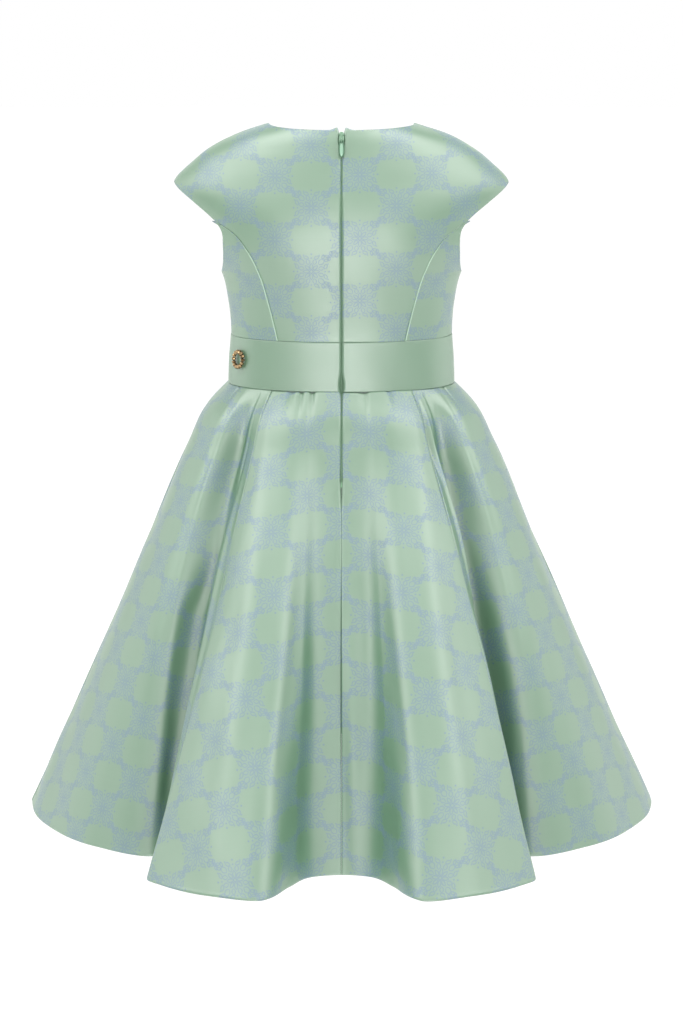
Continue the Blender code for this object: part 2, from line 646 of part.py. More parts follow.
def add_bead_ring(collection, material):
    """A ring of small beads, laid on the band: each point of a torus stands as far along,
    up and off the band as it does from the torus's own middle, and the torus's wire swells
    and narrows once for each bead."""
    bpy.ops.mesh.primitive_torus_add(
        major_radius=BEAD_RING_RADIUS, minor_radius=BEAD_RADIUS,
        major_segments=4 * BEADS, minor_segments=8,
    )
    ring = bpy.context.object
    ring.name = "bead_ring"
    mesh = ring.data
    flat = np.empty(len(mesh.vertices) * 3, np.float32)
    mesh.vertices.foreach_get("co", flat)
    flat = flat.reshape(-1, 3).astype(float)
    turn = np.arctan2(flat[:, 1], flat[:, 0])
    circle = np.stack([np.cos(turn), np.sin(turn), np.zeros_like(turn)], -1) * BEAD_RING_RADIUS
    bead = BETWEEN_BEADS + (1 - BETWEEN_BEADS) * np.abs(np.cos(turn * BEADS / 2))
    shaped = circle + (flat - circle) * bead[:, None]
    level = BEAD_RING_HEIGHT + shaped[:, 1]
    middle = angle_at(BEAD_RING_OUT, BEAD_RING_HEIGHT)
    step = bodice(middle + STEP, BEAD_RING_HEIGHT) - bodice(middle - STEP, BEAD_RING_HEIGHT)
    angle = middle + shaped[:, 0] * 2 * STEP / np.linalg.norm(step)
    off = BAND_PROUD + SEAM_GAP + BEAD_RADIUS + shaped[:, 2]
    points = bodice(angle, level) + off[:, None] * bodice_normals(angle, level)
    points[:, 0] *= -1
    mesh.vertices.foreach_set("co", points.astype(np.float32).ravel())
    mesh.flip_normals()
    mesh.shade_smooth()
    mesh.materials.append(material)
    for other in list(ring.users_collection):
        other.objects.unlink(ring)
    collection.objects.link(ring)


def main():
    for old in list(bpy.data.objects):
        bpy.data.objects.remove(old)
    collection = bpy.data.collections.new("jacquard_dress")
    helpers = bpy.data.collections.new("helpers")
    for home in (collection, helpers):
        bpy.context.scene.collection.children.link(home)
    jacquard = make_material("satin_jacquard", linear(172, 198, 181), 0.42, 0.0)
    satin = make_material("plain_satin", linear(170, 196, 174), 0.38, 0.0)
    woven_tape = make_material("zip_tape", linear(120, 160, 128), 0.60, 0.0)
    enamel = make_material("green_enamel", linear(168, 205, 180), 0.35, 0.3)
    gold = make_material("gold_beads", linear(170, 130, 70), 0.30, 1.0)
    add_bodice(collection, jacquard)
    add_side_panels(collection, jacquard)
    add_waistband(collection, satin)
    add_skirt(collection, jacquard)
    add_zip_tape(collection, woven_tape)
    add_slider(collection, helpers, enamel)
    add_pull(collection, enamel)
    add_bead_ring(collection, gold)


main()
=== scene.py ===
"""A child's dress in light green satin jacquard, seen from behind, dressed round its model.

Each cloth panel is a thin shell on the model's own surface. Metres, +Z up, the zipped back
to -Y and the wearer's left at -X.
"""

import math

import bmesh
import bpy
import numpy as np
from mathutils import Matrix, Vector


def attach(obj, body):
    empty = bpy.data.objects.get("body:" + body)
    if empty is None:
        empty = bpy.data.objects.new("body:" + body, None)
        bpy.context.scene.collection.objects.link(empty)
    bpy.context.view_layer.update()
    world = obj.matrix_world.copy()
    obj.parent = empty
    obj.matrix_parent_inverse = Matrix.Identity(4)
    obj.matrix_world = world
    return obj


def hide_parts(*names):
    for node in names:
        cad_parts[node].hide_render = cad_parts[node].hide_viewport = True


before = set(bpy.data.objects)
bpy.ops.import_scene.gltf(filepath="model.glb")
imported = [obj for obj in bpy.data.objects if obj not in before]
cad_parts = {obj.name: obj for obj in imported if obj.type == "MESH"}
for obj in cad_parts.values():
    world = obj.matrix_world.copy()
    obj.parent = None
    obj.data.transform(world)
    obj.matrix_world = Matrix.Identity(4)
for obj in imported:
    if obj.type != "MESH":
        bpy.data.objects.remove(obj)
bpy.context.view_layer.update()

# Camera and the photograph's height
PHOTO_HEIGHT = 1024
FOCAL_PIXELS = 3700.0
SENSOR = 36.0
CAMERA_PLACE = (0.0, -3.5, 0.25)
CAMERA_DOWN = math.radians(10.09)

# Cloth
CLOTH = 0.0011
SEAM_GAP = 0.0001
BAND_PROUD = 0.0004
STEP = 1e-4
STEEPEST_LEAN = 2.5
# Slight unevenness: its size and the length of its waves
BODICE_UNEVENNESS = (0.0004, 0.075)
SKIRT_UNEVENNESS = (0.0010, 0.11)

# Distances from an edge at which a panel has extra rows and columns
NEAR_EDGE = np.array((0.0, 0.0002, 0.0005, 0.0009, 0.0014, 0.0020, 0.0028, 0.0040))
ROW_SPACING = 0.0034
COLUMN_SPACING = 0.0026

# Heights of the seams
SHOULDER_TIP = -0.0558
UNDERARM = -0.1394
BAND_TOP = -0.1996
BAND_BOTTOM = -0.2458
HEM = -0.6580

# Neck edge
BACK_NECK_DIP = 0.0025
NECK_PEAK = 0.0024
NECK_PEAK_WIDTH = 0.0045
NECK_PEAK_DEPTH = 0.0120
FRONT_NECK_DROP = 0.0450
FRONT_NECK_ROUNDNESS = 1.4
NECK_DIP_START = -0.1200

# Rings of the bodice and the band: at each height an oval, pointed at the sides where its
# power is low and square where it is high
RING_COLUMNS = ("height", "half_width", "back_depth", "front_depth", "power")
RINGS = np.array((
    (-0.2458, 0.1075, 0.0735, 0.0800, 2.20),
    (-0.2220, 0.1066, 0.0722, 0.0785, 2.20),
    (-0.1996, 0.1050, 0.0710, 0.0780, 2.20),
    (-0.1680, 0.1075, 0.0755, 0.0850, 2.20),
    (-0.1394, 0.1140, 0.0805, 0.0905, 2.20),
    (-0.1155, 0.1285, 0.0835, 0.0910, 2.20),
    (-0.0905, 0.1405, 0.0840, 0.0880, 2.10),
    (-0.0720, 0.1555, 0.0815, 0.0830, 1.90),
    (-0.0620, 0.1595, 0.0790, 0.0795, 1.82),
    (-0.0558, 0.1585, 0.0770, 0.0775, 1.80),
    (-0.0378, 0.1427, 0.0715, 0.0720, 1.84),
    (-0.0228, 0.1238, 0.0660, 0.0675, 1.94),
    (-0.0086, 0.0954, 0.0600, 0.0635, 2.10),
    (0.0000, 0.0684, 0.0550, 0.0605, 2.20),
))

# Seam between centre and side panels of the bodice: heights, and how far out from the middle
CURVED_SEAM = np.array((
    (-0.1996, 0.0600),
    (-0.1640, 0.0685),
    (-0.1350, 0.0775),
    (-0.1137, 0.0886),
    (-0.0970, 0.1030),
    (-0.0883, 0.1180),
))

# Armhole and hem of the cap sleeve: one oval in side view, round below and pointed above
ARMHOLE_REACH = 0.0510
ARMHOLE_ROUNDNESS = 2.0
CAP_ROUNDNESS = 1.6
ARMHOLE_ROWS = 70
SIDE_PANEL_ARMHOLE_ROWS = 40

# Folds of the skirt, lines that run down the cloth from the centre back to the centre
# front: an angle round the waist oval, then at the hip, the thigh and the hem a place out
# from the middle and behind (-) or in front (+)
HIP = -0.3000
THIGH = -0.4000
FOLDS = {
    "centre_back": (0.0, 0.0000, -0.1030, 0.0000, -0.1570, 0.0000, -0.2680),
    "notch_edge": (8.0, 0.0180, -0.1045, 0.0180, -0.1600, 0.0240, -0.2740),
    "lobe_rise": (14.0, 0.0320, -0.1075, 0.0330, -0.1680, 0.0440, -0.3050),
    "lobe_crest": (21.0, 0.0490, -0.1090, 0.0520, -0.1760, 0.0700, -0.3500),
    "lobe_outer": (29.0, 0.0670, -0.1050, 0.0780, -0.1720, 0.1160, -0.3370),
    "edge_inner": (33.5, 0.0785, -0.0985, 0.1020, -0.1580, 0.1630, -0.3000),
    "back_seam": (35.5, 0.0830, -0.0940, 0.1110, -0.1480, 0.1743, -0.2850),
    "edge_under": (37.5, 0.0860, -0.0880, 0.1135, -0.1370, 0.1720, -0.2680),
    "fold_under": (41.0, 0.0905, -0.0790, 0.1160, -0.1220, 0.1520, -0.2220),
    "fold_valley": (45.5, 0.0990, -0.0690, 0.1260, -0.1070, 0.1370, -0.1880),
    "side_rise": (50.5, 0.1100, -0.0735, 0.1390, -0.1100, 0.1480, -0.1900),
    "side_crest": (57.0, 0.1190, -0.0730, 0.1510, -0.1080, 0.1710, -0.2040),
    "side_outer": (66.0, 0.1310, -0.0590, 0.1670, -0.0900, 0.2295, -0.1700),
    "hip_back": (78.0, 0.1415, -0.0310, 0.1830, -0.0500, 0.2830, -0.0860),
    "side_seam": (89.0, 0.1445, -0.0020, 0.1870, -0.0030, 0.3020, 0.0000),
    "hip_front": (101.0, 0.1415, 0.0290, 0.1830, 0.0470, 0.2880, 0.0880),
    "front_outer": (113.0, 0.1310, 0.0580, 0.1670, 0.0860, 0.2430, 0.1620),
    "front_crest": (122.5, 0.1180, 0.0730, 0.1490, 0.1050, 0.1950, 0.1930),
    "front_rise": (128.5, 0.1085, 0.0750, 0.1370, 0.1070, 0.1660, 0.1880),
    "front_valley": (133.5, 0.0990, 0.0720, 0.1250, 0.1060, 0.1480, 0.1800),
    "front_under": (138.5, 0.0915, 0.0805, 0.1160, 0.1200, 0.1600, 0.2090),
    "edge_front": (141.5, 0.0870, 0.0870, 0.1130, 0.1320, 0.1755, 0.2470),
    "front_seam": (143.5, 0.0835, 0.0920, 0.1100, 0.1420, 0.1770, 0.2640),
    "edge_back": (146.0, 0.0785, 0.0970, 0.1005, 0.1520, 0.1660, 0.2790),
    "front_lobe": (152.0, 0.0630, 0.1050, 0.0750, 0.1660, 0.1210, 0.3080),
    "front_top": (161.0, 0.0410, 0.1100, 0.0470, 0.1720, 0.0730, 0.3160),
    "front_dip": (171.0, 0.0190, 0.1085, 0.0210, 0.1640, 0.0310, 0.2920),
    "centre_front": (180.0, 0.0000, 0.1060, 0.0000, 0.1600, 0.0000, 0.2820),
}
YOKE = -0.2660
YOKE_SHARE = 0.53

# Edges of the panels: how wide and how deep the cloth rolls in, and how high the little
# ridge is that the layers under it raise beside it
EDGES = {
    "seam": (0.0010, 0.0005, 0.0001),
    "piped": (0.0010, 0.0004, 0.0),
    "zip": (0.0024, 0.0012, 0.0002),
    "band": (0.0008, 0.0003, 0.0001),
    "finished": (0.0009, 0.0005, 0.0001),
}
RIDGE_AT = 0.0019
RIDGE_WIDTH = 0.0010
RIDGE_FADES_WITHIN = 0.0040

# Cord in the curved seams, which dies away before the armhole
PIPING_RADIUS = 0.00065
PIPING_END_RADIUS = 0.00004
PIPING_LIFT = 0.0004
PIPING_FADES_FROM = -0.1250
PIPING_ENDS = -0.0950
PIPING_RINGS = 90

# Creases of the skirt, soft troughs (-) and ridges (+). Fold lines are counted from the
# centre back, 0, and a half lies midway between two. Side -1 is the wearer's left, 1 the
# right and 0 both. Each row has its side, its top and its foot (the fold line and the
# drop, 0 at the band and 1 at the hem), its width and its rise. A crease that starts at
# drop 0 is deepest there.
CREASES = (
    (-1, 1.75, 0.00, 1.90, 0.12, 0.0042, -0.0026),
    (-1, 2.60, 0.00, 2.70, 0.09, 0.0038, -0.0020),
    (-1, 3.30, 0.00, 3.40, 0.07, 0.0036, -0.0014),
    (1, 1.20, 0.00, 1.35, 0.09, 0.0042, -0.0020),
    (1, 3.10, 0.00, 3.20, 0.06, 0.0036, -0.0012),
    (1, 6.55, 0.01, 6.95, 0.20, 0.0050, -0.0040),
    (1, 7.30, 0.05, 7.60, 0.50, 0.0060, 0.0034),
    (1, 7.95, 0.05, 9.50, 1.05, 0.0100, -0.0132),
    (-1, 7.60, 0.10, 10.9, 1.00, 0.0080, -0.0065),
    (-1, 6.20, 0.12, 6.30, 1.00, 0.0130, -0.0065),
    (1, 0.50, 0.30, 0.50, 1.10, 0.0080, 0.0042),
    (-1, 0.60, 0.10, 1.50, 1.10, 0.0240, -0.0056),
    (1, 0.75, 0.10, 2.05, 1.10, 0.0240, -0.0060),
    (0, 2.10, 0.22, 3.10, 1.10, 0.0200, -0.0032),
    (0, 4.10, 0.08, 4.00, 1.10, 0.0170, 0.0040),
    (0, 11.5, 0.00, 11.7, 0.08, 0.0050, -0.0010),
    (0, 16.5, 0.00, 16.6, 0.09, 0.0050, -0.0012),
    (-1, 23.8, 0.00, 23.9, 0.08, 0.0040, -0.0014),
    (1, 24.6, 0.00, 24.5, 0.07, 0.0040, -0.0012),
    (0, 26.0, 0.00, 25.9, 0.09, 0.0045, -0.0010),
)
CREASE_REACH = 12
CREASE_SWELL = 1.2
CLOTH_SHARE_AT_BAND = 0.42

# Concealed zip. Thin cloth lies closer over it than the model's walls do.
ZIP_HALF_GAP = 0.0005
ZIP_MOUTH = 0.0016
ZIP_MOUTH_HEIGHT = -0.2390
ZIP_MOUTH_REACH = 0.0125
ZIP_THROAT = 0.0015
ZIP_NOTCH = 0.0014
ZIP_NOTCH_DEPTH = 0.0045
ZIP_THROAT_DEPTH = 0.0190
ZIP_THROAT_TAPER = 0.0090
ZIP_END = -0.3300
ZIP_CLOSES = -0.3450
TAPE_BELOW_NECK = 0.0028
TAPE_HALF_WIDTH = 0.0110
TAPE_THICKNESS = 0.0006
TAPE_SUNK = 0.0025
TAPE_ABOVE_END = 0.0020
TAPE_ROW_SPACING = 0.0020
TAPE_POINTS_ACROSS = 23
COIL_PITCH = 0.0013
COIL_RADIUS = 0.0007
COIL_WIRE = 0.00028
COIL_SUNK = 0.0014
COIL_APART = 0.0005
COIL_FLATNESS = 0.6
COIL_STARTS = -0.0040
COIL_SHORTER = 0.0060
COIL_POINTS_A_TURN = 10

# Zip slider and its pull tab
HINGE_LEVEL = -0.0105
HINGE_HEIGHT = 0.00295
SLIDER_LENGTH = 0.0118
SLIDER_WIDTH = 0.0048
SLIDER_THICKNESS = 0.0015
SLIDER_ABOVE_HINGE = 0.0088
SLIDER_GROOVE = 0.0008
SLIDER_GROOVES = (0.36, -0.10)
SLIDER_GROOVE_WIDTH = 0.11
SLIDER_CORNERS = 0.55
SLIDER_ROUNDING = 0.35
SLIDER_FLATNESS = 0.7
SLIDER_CROWN = 0.25
SLIDER_TAPER = 0.16
CAD_SEAM_GAP = 0.0003
LUG_RADIUS = 0.00175
LUG_WIRE = 0.00045
PULL_LENGTH = 0.0170
PULL_WIDTH = 0.0059
PULL_THICKNESS = 0.0012
PULL_BAR = 0.0005
PULL_EYE_LENGTH = 0.0022
PULL_EYE_WIDTH = 0.0019
PULL_FOOT_SWELL = 0.13
PULL_WIDEST = 0.60
PULL_TILT = math.radians(6.0)
PULL_RIM = 0.0011
PULL_RECESS = 0.00030
PULL_ROUNDING = 0.00030
PULL_EYE_RINGS = (0.0005, 0.0003, 0.0001)

# Ring of beads on the band, at the wearer's left back
BEAD_RING_OUT = 0.0955
BEAD_RING_HEIGHT = -0.2200
BEAD_RING_RADIUS = 0.0071
BEAD_RADIUS = 0.0023
BEAD_SQUEEZE = 0.72
BEADS = 14
BEAD_FACETS = 8
BEAD_LATITUDES = (-62, -24, 24, 62)
BEAD_UNEVENNESS = 0.06

# Repeat of the jacquard
REPEAT_WIDTH = 0.0690
REPEAT_HEIGHT = 0.0594

# Where each panel's pattern stands on its cloth, metres across and up
PATTERN_PHASE = {
    "bodice_centre_back_left": (0.0275, 0.0504),
    "bodice_centre_back_right": (-0.0165, 0.0190),
    "bodice_centre_front": (0.0, 0.0100),
    "bodice_side_back_left": (-0.0233, 0.0034),
    "bodice_side_back_right": (0.0208, 0.0034),
    "bodice_side_front_left": (0.0100, 0.0200),
    "bodice_side_front_right": (-0.0150, 0.0320),
    "skirt_back_left": (0.0320, 0.0400),
    "skirt_back_right": (-0.0250, 0.0390),
    "skirt_side_back_left": (-0.0245, -0.0240),
    "skirt_side_back_right": (0.0245, -0.0100),
    "skirt_side_front_left": (0.0120, 0.0300),
    "skirt_side_front_right": (-0.0160, 0.0050),
    "skirt_front": (0.0, 0.0200),
}


def linear(red, green, blue):
    """Turns a display colour of 0 to 255 a channel into Blender's linear colour."""
    channels = np.array((red, green, blue)) / 255
    low = channels / 12.92
    high = ((channels + 0.055) / 1.055) ** 2.4
    return (*np.where(channels <= 0.04045, low, high), 1.0)


def through(knots, values, at):
    """A smooth curve through values at the knots: cubic spans, each knot's slope that of the
    parabola through it and its two neighbours."""
    knots = np.asarray(knots, float)
    values = np.asarray(values, float)
    span = np.diff(knots)
    slope = np.diff(values, axis=0) / span.reshape(-1, *[1] * (values.ndim - 1))
    tangent = np.empty_like(values)
    before = (span[:-1] / (span[:-1] + span[1:])).reshape(-1, *[1] * (values.ndim - 1))
    tangent[1:-1] = slope[:-1] * (1 - before) + slope[1:] * before
    tangent[0] = 1.5 * slope[0] - 0.5 * tangent[1]
    tangent[-1] = 1.5 * slope[-1] - 0.5 * tangent[-2]
    at = np.asarray(at, float)
    place = np.clip(np.searchsorted(knots, at, side="right") - 1, 0, len(span) - 1)
    width = span[place]
    u = (at - knots[place]) / width
    shape = at.shape + (1,) * (values.ndim - 1)
    u, width = u.reshape(shape), width.reshape(shape)
    return (
        (2 * u**3 - 3 * u**2 + 1) * values[place]
        + (u**3 - 2 * u**2 + u) * width * tangent[place]
        + (3 * u**2 - 2 * u**3) * values[place + 1]
        + (u**3 - u**2) * width * tangent[place + 1]
    )


def full_turn(count):
    """Even angles once round, without the last, which is the first again."""
    return np.linspace(0, 2 * math.pi, count, endpoint=False)


def ease(share):
    """0 up to share 0, then a smooth rise to 1 at share 1."""
    share = np.clip(share, 0, 1)
    return share**2 * (3 - 2 * share)


def ring_size(name, height):
    return through(RINGS[:, 0], RINGS[:, RING_COLUMNS.index(name)], height)


def oval(angle, half_width, back_depth, front_depth, power):
    """The point of an oval at an angle from the centre back: the sine gives the distance
    out and the cosine the depth, both raised to 2 / power."""
    out = half_width * np.sign(np.sin(angle)) * np.abs(np.sin(angle)) ** (2 / power)
    behind = np.sign(np.cos(angle)) * np.abs(np.cos(angle)) ** (2 / power)
    return out, -behind * np.where(behind > 0, back_depth, front_depth)


def bodice(angle, level):
    """The outer face of the bodice and the band. Each level is an oval ring, which sinks
    towards the centre as it nears the neck: a little behind, down the surface, and more in
    front, straight down."""
    angle, level = np.broadcast_arrays(np.asarray(angle, float), np.asarray(level, float))
    cosine = np.cos(angle)
    near_neck = np.clip(1 - level / NECK_DIP_START, 0, 1) ** 2
    height = level - BACK_NECK_DIP * np.maximum(cosine, 0) ** 2 * near_neck
    drop = FRONT_NECK_DROP * np.maximum(-cosine, 0) ** FRONT_NECK_ROUNDNESS * near_neck
    sizes = [ring_size(name, height) for name in RING_COLUMNS[1:]]
    out, depth = oval(angle, *sizes)
    return np.stack([out, depth, height - drop], axis=-1)


def angle_at(out, level, in_front=False):
    """The angle at which the ring of a level stands this far out from the middle."""
    share = np.clip(out / ring_size("half_width", level), 0, 1)
    angle = np.arcsin(share ** (ring_size("power", level) / 2))
    return math.pi - angle if in_front else angle


def face_normals(surface, first, second):
    """Unit normals of a surface of two parameters, from small steps along both."""
    along = surface(first + STEP, second) - surface(first - STEP, second)
    across = surface(first, second + STEP) - surface(first, second - STEP)
    normal = np.cross(along, across)
    return normal / np.linalg.norm(normal, axis=-1, keepdims=True)


def bodice_normals(angle, level):
    return face_normals(bodice, angle, np.minimum(level, -STEP))


FOLD_NAMES = list(FOLDS)


def fold_lines():
    """Each fold line's points (out, y) at the band, yoke, hip, thigh and hem."""
    table = np.array(list(FOLDS.values()))
    waist_sizes = [ring_size(name, BAND_BOTTOM) for name in RING_COLUMNS[1:]]
    waist = np.stack(oval(np.radians(table[:, 0]), *waist_sizes), axis=-1)
    hip, thigh, hem = table[:, 1:].reshape(-1, 3, 2).swapaxes(0, 1)
    yoke = waist + YOKE_SHARE * (hip - waist)
    return np.stack([waist, yoke, hip, thigh, hem])


FOLD_LINES = fold_lines()
FOLD_HEIGHTS = np.array([BAND_BOTTOM, YOKE, HIP, THIGH, HEM])
HANDS = ((-1, "left"), (1, "right"))
MIRROR_OUT = np.array([-1.0, 1.0])
MIRROR = np.array([-1.0, 1.0, 1.0])
HEM_STEPS = np.linalg.norm(np.diff(FOLD_LINES[-1], axis=0), axis=1)
ROUND_PLACES = np.concatenate([[0], np.cumsum(HEM_STEPS)])


def skirt(place, drop):
    """The outer face of the skirt. Fold lines run smoothly down through their heights, and
    at each height a smooth curve joins them round the skirt. The lines next to the centre
    back and front are mirrored across it, so that both halves meet squarely."""
    place, drop = np.broadcast_arrays(np.asarray(place, float), np.asarray(drop, float))
    rows, back = np.unique(drop.ravel(), return_inverse=True)
    heights = BAND_BOTTOM + (HEM - BAND_BOTTOM) * rows
    lines = through(-FOLD_HEIGHTS, FOLD_LINES, -heights)
    before, after = lines[:, 2:0:-1] * MIRROR_OUT, lines[:, -2:-4:-1] * MIRROR_OUT
    lines = np.concatenate([before, lines, after], axis=1)
    end = ROUND_PLACES[-1]
    knots = np.concatenate([-ROUND_PLACES[2:0:-1], ROUND_PLACES, 2 * end - ROUND_PLACES[-2:-4:-1]])
    points = np.empty((place.size, 3))
    flat_place = place.ravel()
    order = np.argsort(back.ravel(), kind="stable")
    ends = np.searchsorted(back.ravel()[order], np.arange(len(rows) + 1))
    for row, height in enumerate(heights):
        here = order[ends[row]:ends[row + 1]]
        points[here, :2] = through(knots, lines[row], flat_place[here])
        points[here, 2] = height
    return points.reshape(*place.shape, 3)


def skirt_normals(place, drop):
    """Normals of the skirt, turned round because the drop runs downwards."""
    return -face_normals(skirt, place, np.clip(drop, STEP, 1 - STEP))


def armhole_levels():
    """Levels up the armhole, at even turns of its oval from the underarm to the cap's tip."""
    turn = np.linspace(math.pi, 0, ARMHOLE_ROWS + 1)
    return (SHOULDER_TIP + UNDERARM) / 2 + (SHOULDER_TIP - UNDERARM) / 2 * np.cos(turn)


def edge_rows(bottom, top, spacing, bottom_edge=True, top_edge=True):
    """Heights from the bottom to the top of a panel, close together beside its edges."""
    low = bottom + NEAR_EDGE if bottom_edge else np.array([bottom])
    high = top - NEAR_EDGE[::-1] if top_edge else np.array([top])
    count = max(2, round((high[0] - low[-1]) / spacing))
    return np.concatenate([low, np.linspace(low[-1], high[0], count + 1)[1:-1], high])


def side_levels():
    """Rows of the side panels, from the band up to where the curved seam meets the armhole."""
    below = edge_rows(BAND_TOP + SEAM_GAP, UNDERARM, ROW_SPACING, top_edge=False)
    return np.concatenate([below, armhole_levels()[1:SIDE_PANEL_ARMHOLE_ROWS + 1]])


def centre_levels():
    """Rows of the centre panels: those of the side panels, then on up to the neck edge."""
    beside_arm = armhole_levels()[SIDE_PANEL_ARMHOLE_ROWS + 1:]
    shoulder = edge_rows(SHOULDER_TIP, 0.0, ROW_SPACING / 2, bottom_edge=False)
    return np.concatenate([side_levels(), beside_arm, shoulder[1:]])


def curved_seam_out(height):
    return through(*CURVED_SEAM.T, height)


def curved_seam_gap(height):
    """Half the seam gap, measured level: it grows where the seam leans."""
    lean = (curved_seam_out(height + STEP) - curved_seam_out(height - STEP)) / (2 * STEP)
    return SEAM_GAP / 2 * np.sqrt(1 + np.minimum(lean, STEEPEST_LEAN) ** 2)


def zip_half_gap(height):
    """Half the gap over the zip, which opens a little in the lower half of the band and
    round the slider at the neck, and closes into the seam below the zip's end."""
    mouth = np.clip(1 - ((height - ZIP_MOUTH_HEIGHT) / ZIP_MOUTH_REACH) ** 2, 0, 1) ** 2
    throat = ease((height + ZIP_THROAT_DEPTH) / ZIP_THROAT_TAPER)
    notch = np.clip(1 + height / ZIP_NOTCH_DEPTH, 0, 1)
    closed = ease((ZIP_END - height) / (ZIP_END - ZIP_CLOSES))
    opened = ZIP_HALF_GAP + ZIP_MOUTH * mouth + ZIP_THROAT * throat + ZIP_NOTCH * notch
    return opened * (1 - closed) + SEAM_GAP / 2 * closed


def side_angle(reach, level, in_front=False):
    """The angle at which the ring of a level lies this far behind the side seam, or in front."""
    depth = ring_size("front_depth" if in_front else "back_depth", level)
    angle = np.arccos(np.clip(reach / depth, 0, 1) ** (ring_size("power", level) / 2))
    return math.pi - angle if in_front else angle


def armhole_angle(level, in_front):
    """The outer edge of the cloth: half a gap short of the side seam and of the shoulder
    seam, and between them the armhole's oval, seen from the side."""
    middle, half_height = (SHOULDER_TIP + UNDERARM) / 2, (SHOULDER_TIP - UNDERARM) / 2
    share = np.abs(np.clip((level - middle) / half_height, -1, 1))
    power = np.where(level < middle, ARMHOLE_ROUNDNESS, CAP_ROUNDNESS)
    reach = ARMHOLE_REACH * (1 - share**power) ** (1 / power)
    return side_angle(np.maximum(reach, SEAM_GAP / 2), level, in_front)


def seam_angle(level, in_front, side):
    """The curved seam, less half a gap (side -1) or more by half a gap (side 1)."""
    return angle_at(curved_seam_out(level) + side * curved_seam_gap(level), level, in_front)


def cloth_rate(surface, at, level):
    """Metres of cloth round the dress for one unit of the surface's first parameter."""
    between = surface(at + STEP, level) - surface(at - STEP, level)
    return np.linalg.norm(between, axis=-1) / (2 * STEP)


def stations(surface, first, last, level, spacing):
    """The first parameter across a panel, a row for each level: close together beside both
    edges, and in even steps between."""
    way = np.sign(last - first)[:, None]
    low = first[:, None] + NEAR_EDGE / cloth_rate(surface, first, level)[:, None] * way
    high = last[:, None] - NEAR_EDGE[::-1] / cloth_rate(surface, last, level)[:, None] * way
    widest = np.max(np.abs(last - first) * cloth_rate(surface, (first + last) / 2, level))
    share = np.linspace(0, 1, max(4, round(widest / spacing)) + 1)[1:-1]
    middle = low[:, -1:] + (high[:, :1] - low[:, -1:]) * share
    return np.concatenate([low, middle, high], axis=1)


def distance_to(points, edge):
    """How far each point lies from an edge: the least distance to its straight pieces."""
    start, along = edge[:-1], np.diff(edge, axis=0)
    keep = (along**2).sum(-1) > 0
    start, along = start[keep], along[keep]
    offset = points.reshape(-1, 1, 3) - start
    share = np.clip((offset * along).sum(-1) / (along**2).sum(-1), 0, 1)
    nearest = np.linalg.norm(offset - share[..., None] * along, axis=-1).min(1)
    return nearest.reshape(points.shape[:-1])


def edge_rise(points, edges):
    """How far the cloth rises (+) or sinks (-) beside its edges: it rolls in over the last
    millimetre or two, behind a small ridge, which dies away where another edge is near. At
    a corner the deeper roll counts."""
    distances = [distance_to(points, edge) for kind, edge in edges]
    roll, ridges = np.zeros(points.shape[:-1]), np.zeros(points.shape[:-1])
    for place, (kind, edge) in enumerate(edges):
        width, depth, ridge = EDGES[kind]
        others = np.min(distances[:place] + distances[place + 1:], axis=0)
        roll = np.maximum(roll, depth * np.clip(1 - distances[place] / width, 0, 1) ** 2)
        bell = np.exp(-((distances[place] - RIDGE_AT) / RIDGE_WIDTH) ** 2)
        ridges = np.maximum(ridges, ridge * bell * ease(others / RIDGE_FADES_WITHIN))
    return ridges - roll


def unevenness(flat, size, wave):
    """The slight unevenness of hung cloth: three long waves that cross at odd angles."""
    across, along = flat[..., 0] / wave, flat[..., 1] / wave
    return size / 3 * (
        np.sin(2 * math.pi * (across + 0.31 * along))
        + np.sin(2 * math.pi * (0.73 * across - 0.42 * along) + 1.9)
        + np.sin(2 * math.pi * (1.37 * across + 0.57 * along) + 4.1)
    )


def flat_pattern(points, grain=0.5, flared=False):
    """The panel laid flat: metres across and up the cloth, from where the grain line meets
    the first row. A straight panel's rows stay straight. A flared one is a sector, whose
    rows are arcs about the point where its sides would meet."""
    steps = np.linalg.norm(np.diff(points, axis=1), axis=-1)
    across = np.concatenate([np.zeros((len(points), 1)), np.cumsum(steps, axis=1)], axis=1)
    width = across[:, -1:]
    middle = points[:, int(round(grain * (points.shape[1] - 1)))]
    rise = np.linalg.norm(np.diff(middle, axis=0), axis=-1)
    along = np.concatenate([[0], np.cumsum(rise)])[:, None]
    across = across - grain * width
    if not flared:
        return np.stack([across, np.broadcast_to(along, across.shape)], -1)
    spread = (width[-1, 0] - width[0, 0]) / along[-1, 0]
    radius = width[0, 0] / spread + along
    turn = across / radius
    return np.stack([radius * np.sin(turn), radius * np.cos(turn) - radius[0]], -1)


def flat_area(flat):
    """The area of the flat pattern, from the cross products of its cells' diagonals."""
    first = flat[1:, 1:] - flat[:-1, :-1]
    second = flat[1:, :-1] - flat[:-1, 1:]
    return float(np.abs(first[..., 0] * second[..., 1] - first[..., 1] * second[..., 0]).sum() / 2)


def grid_faces(index):
    """The four corners of each cell of a grid of point numbers."""
    corners = (index[:-1, :-1], index[:-1, 1:], index[1:, 1:], index[1:, :-1])
    return np.stack(corners, -1).reshape(-1, 4)


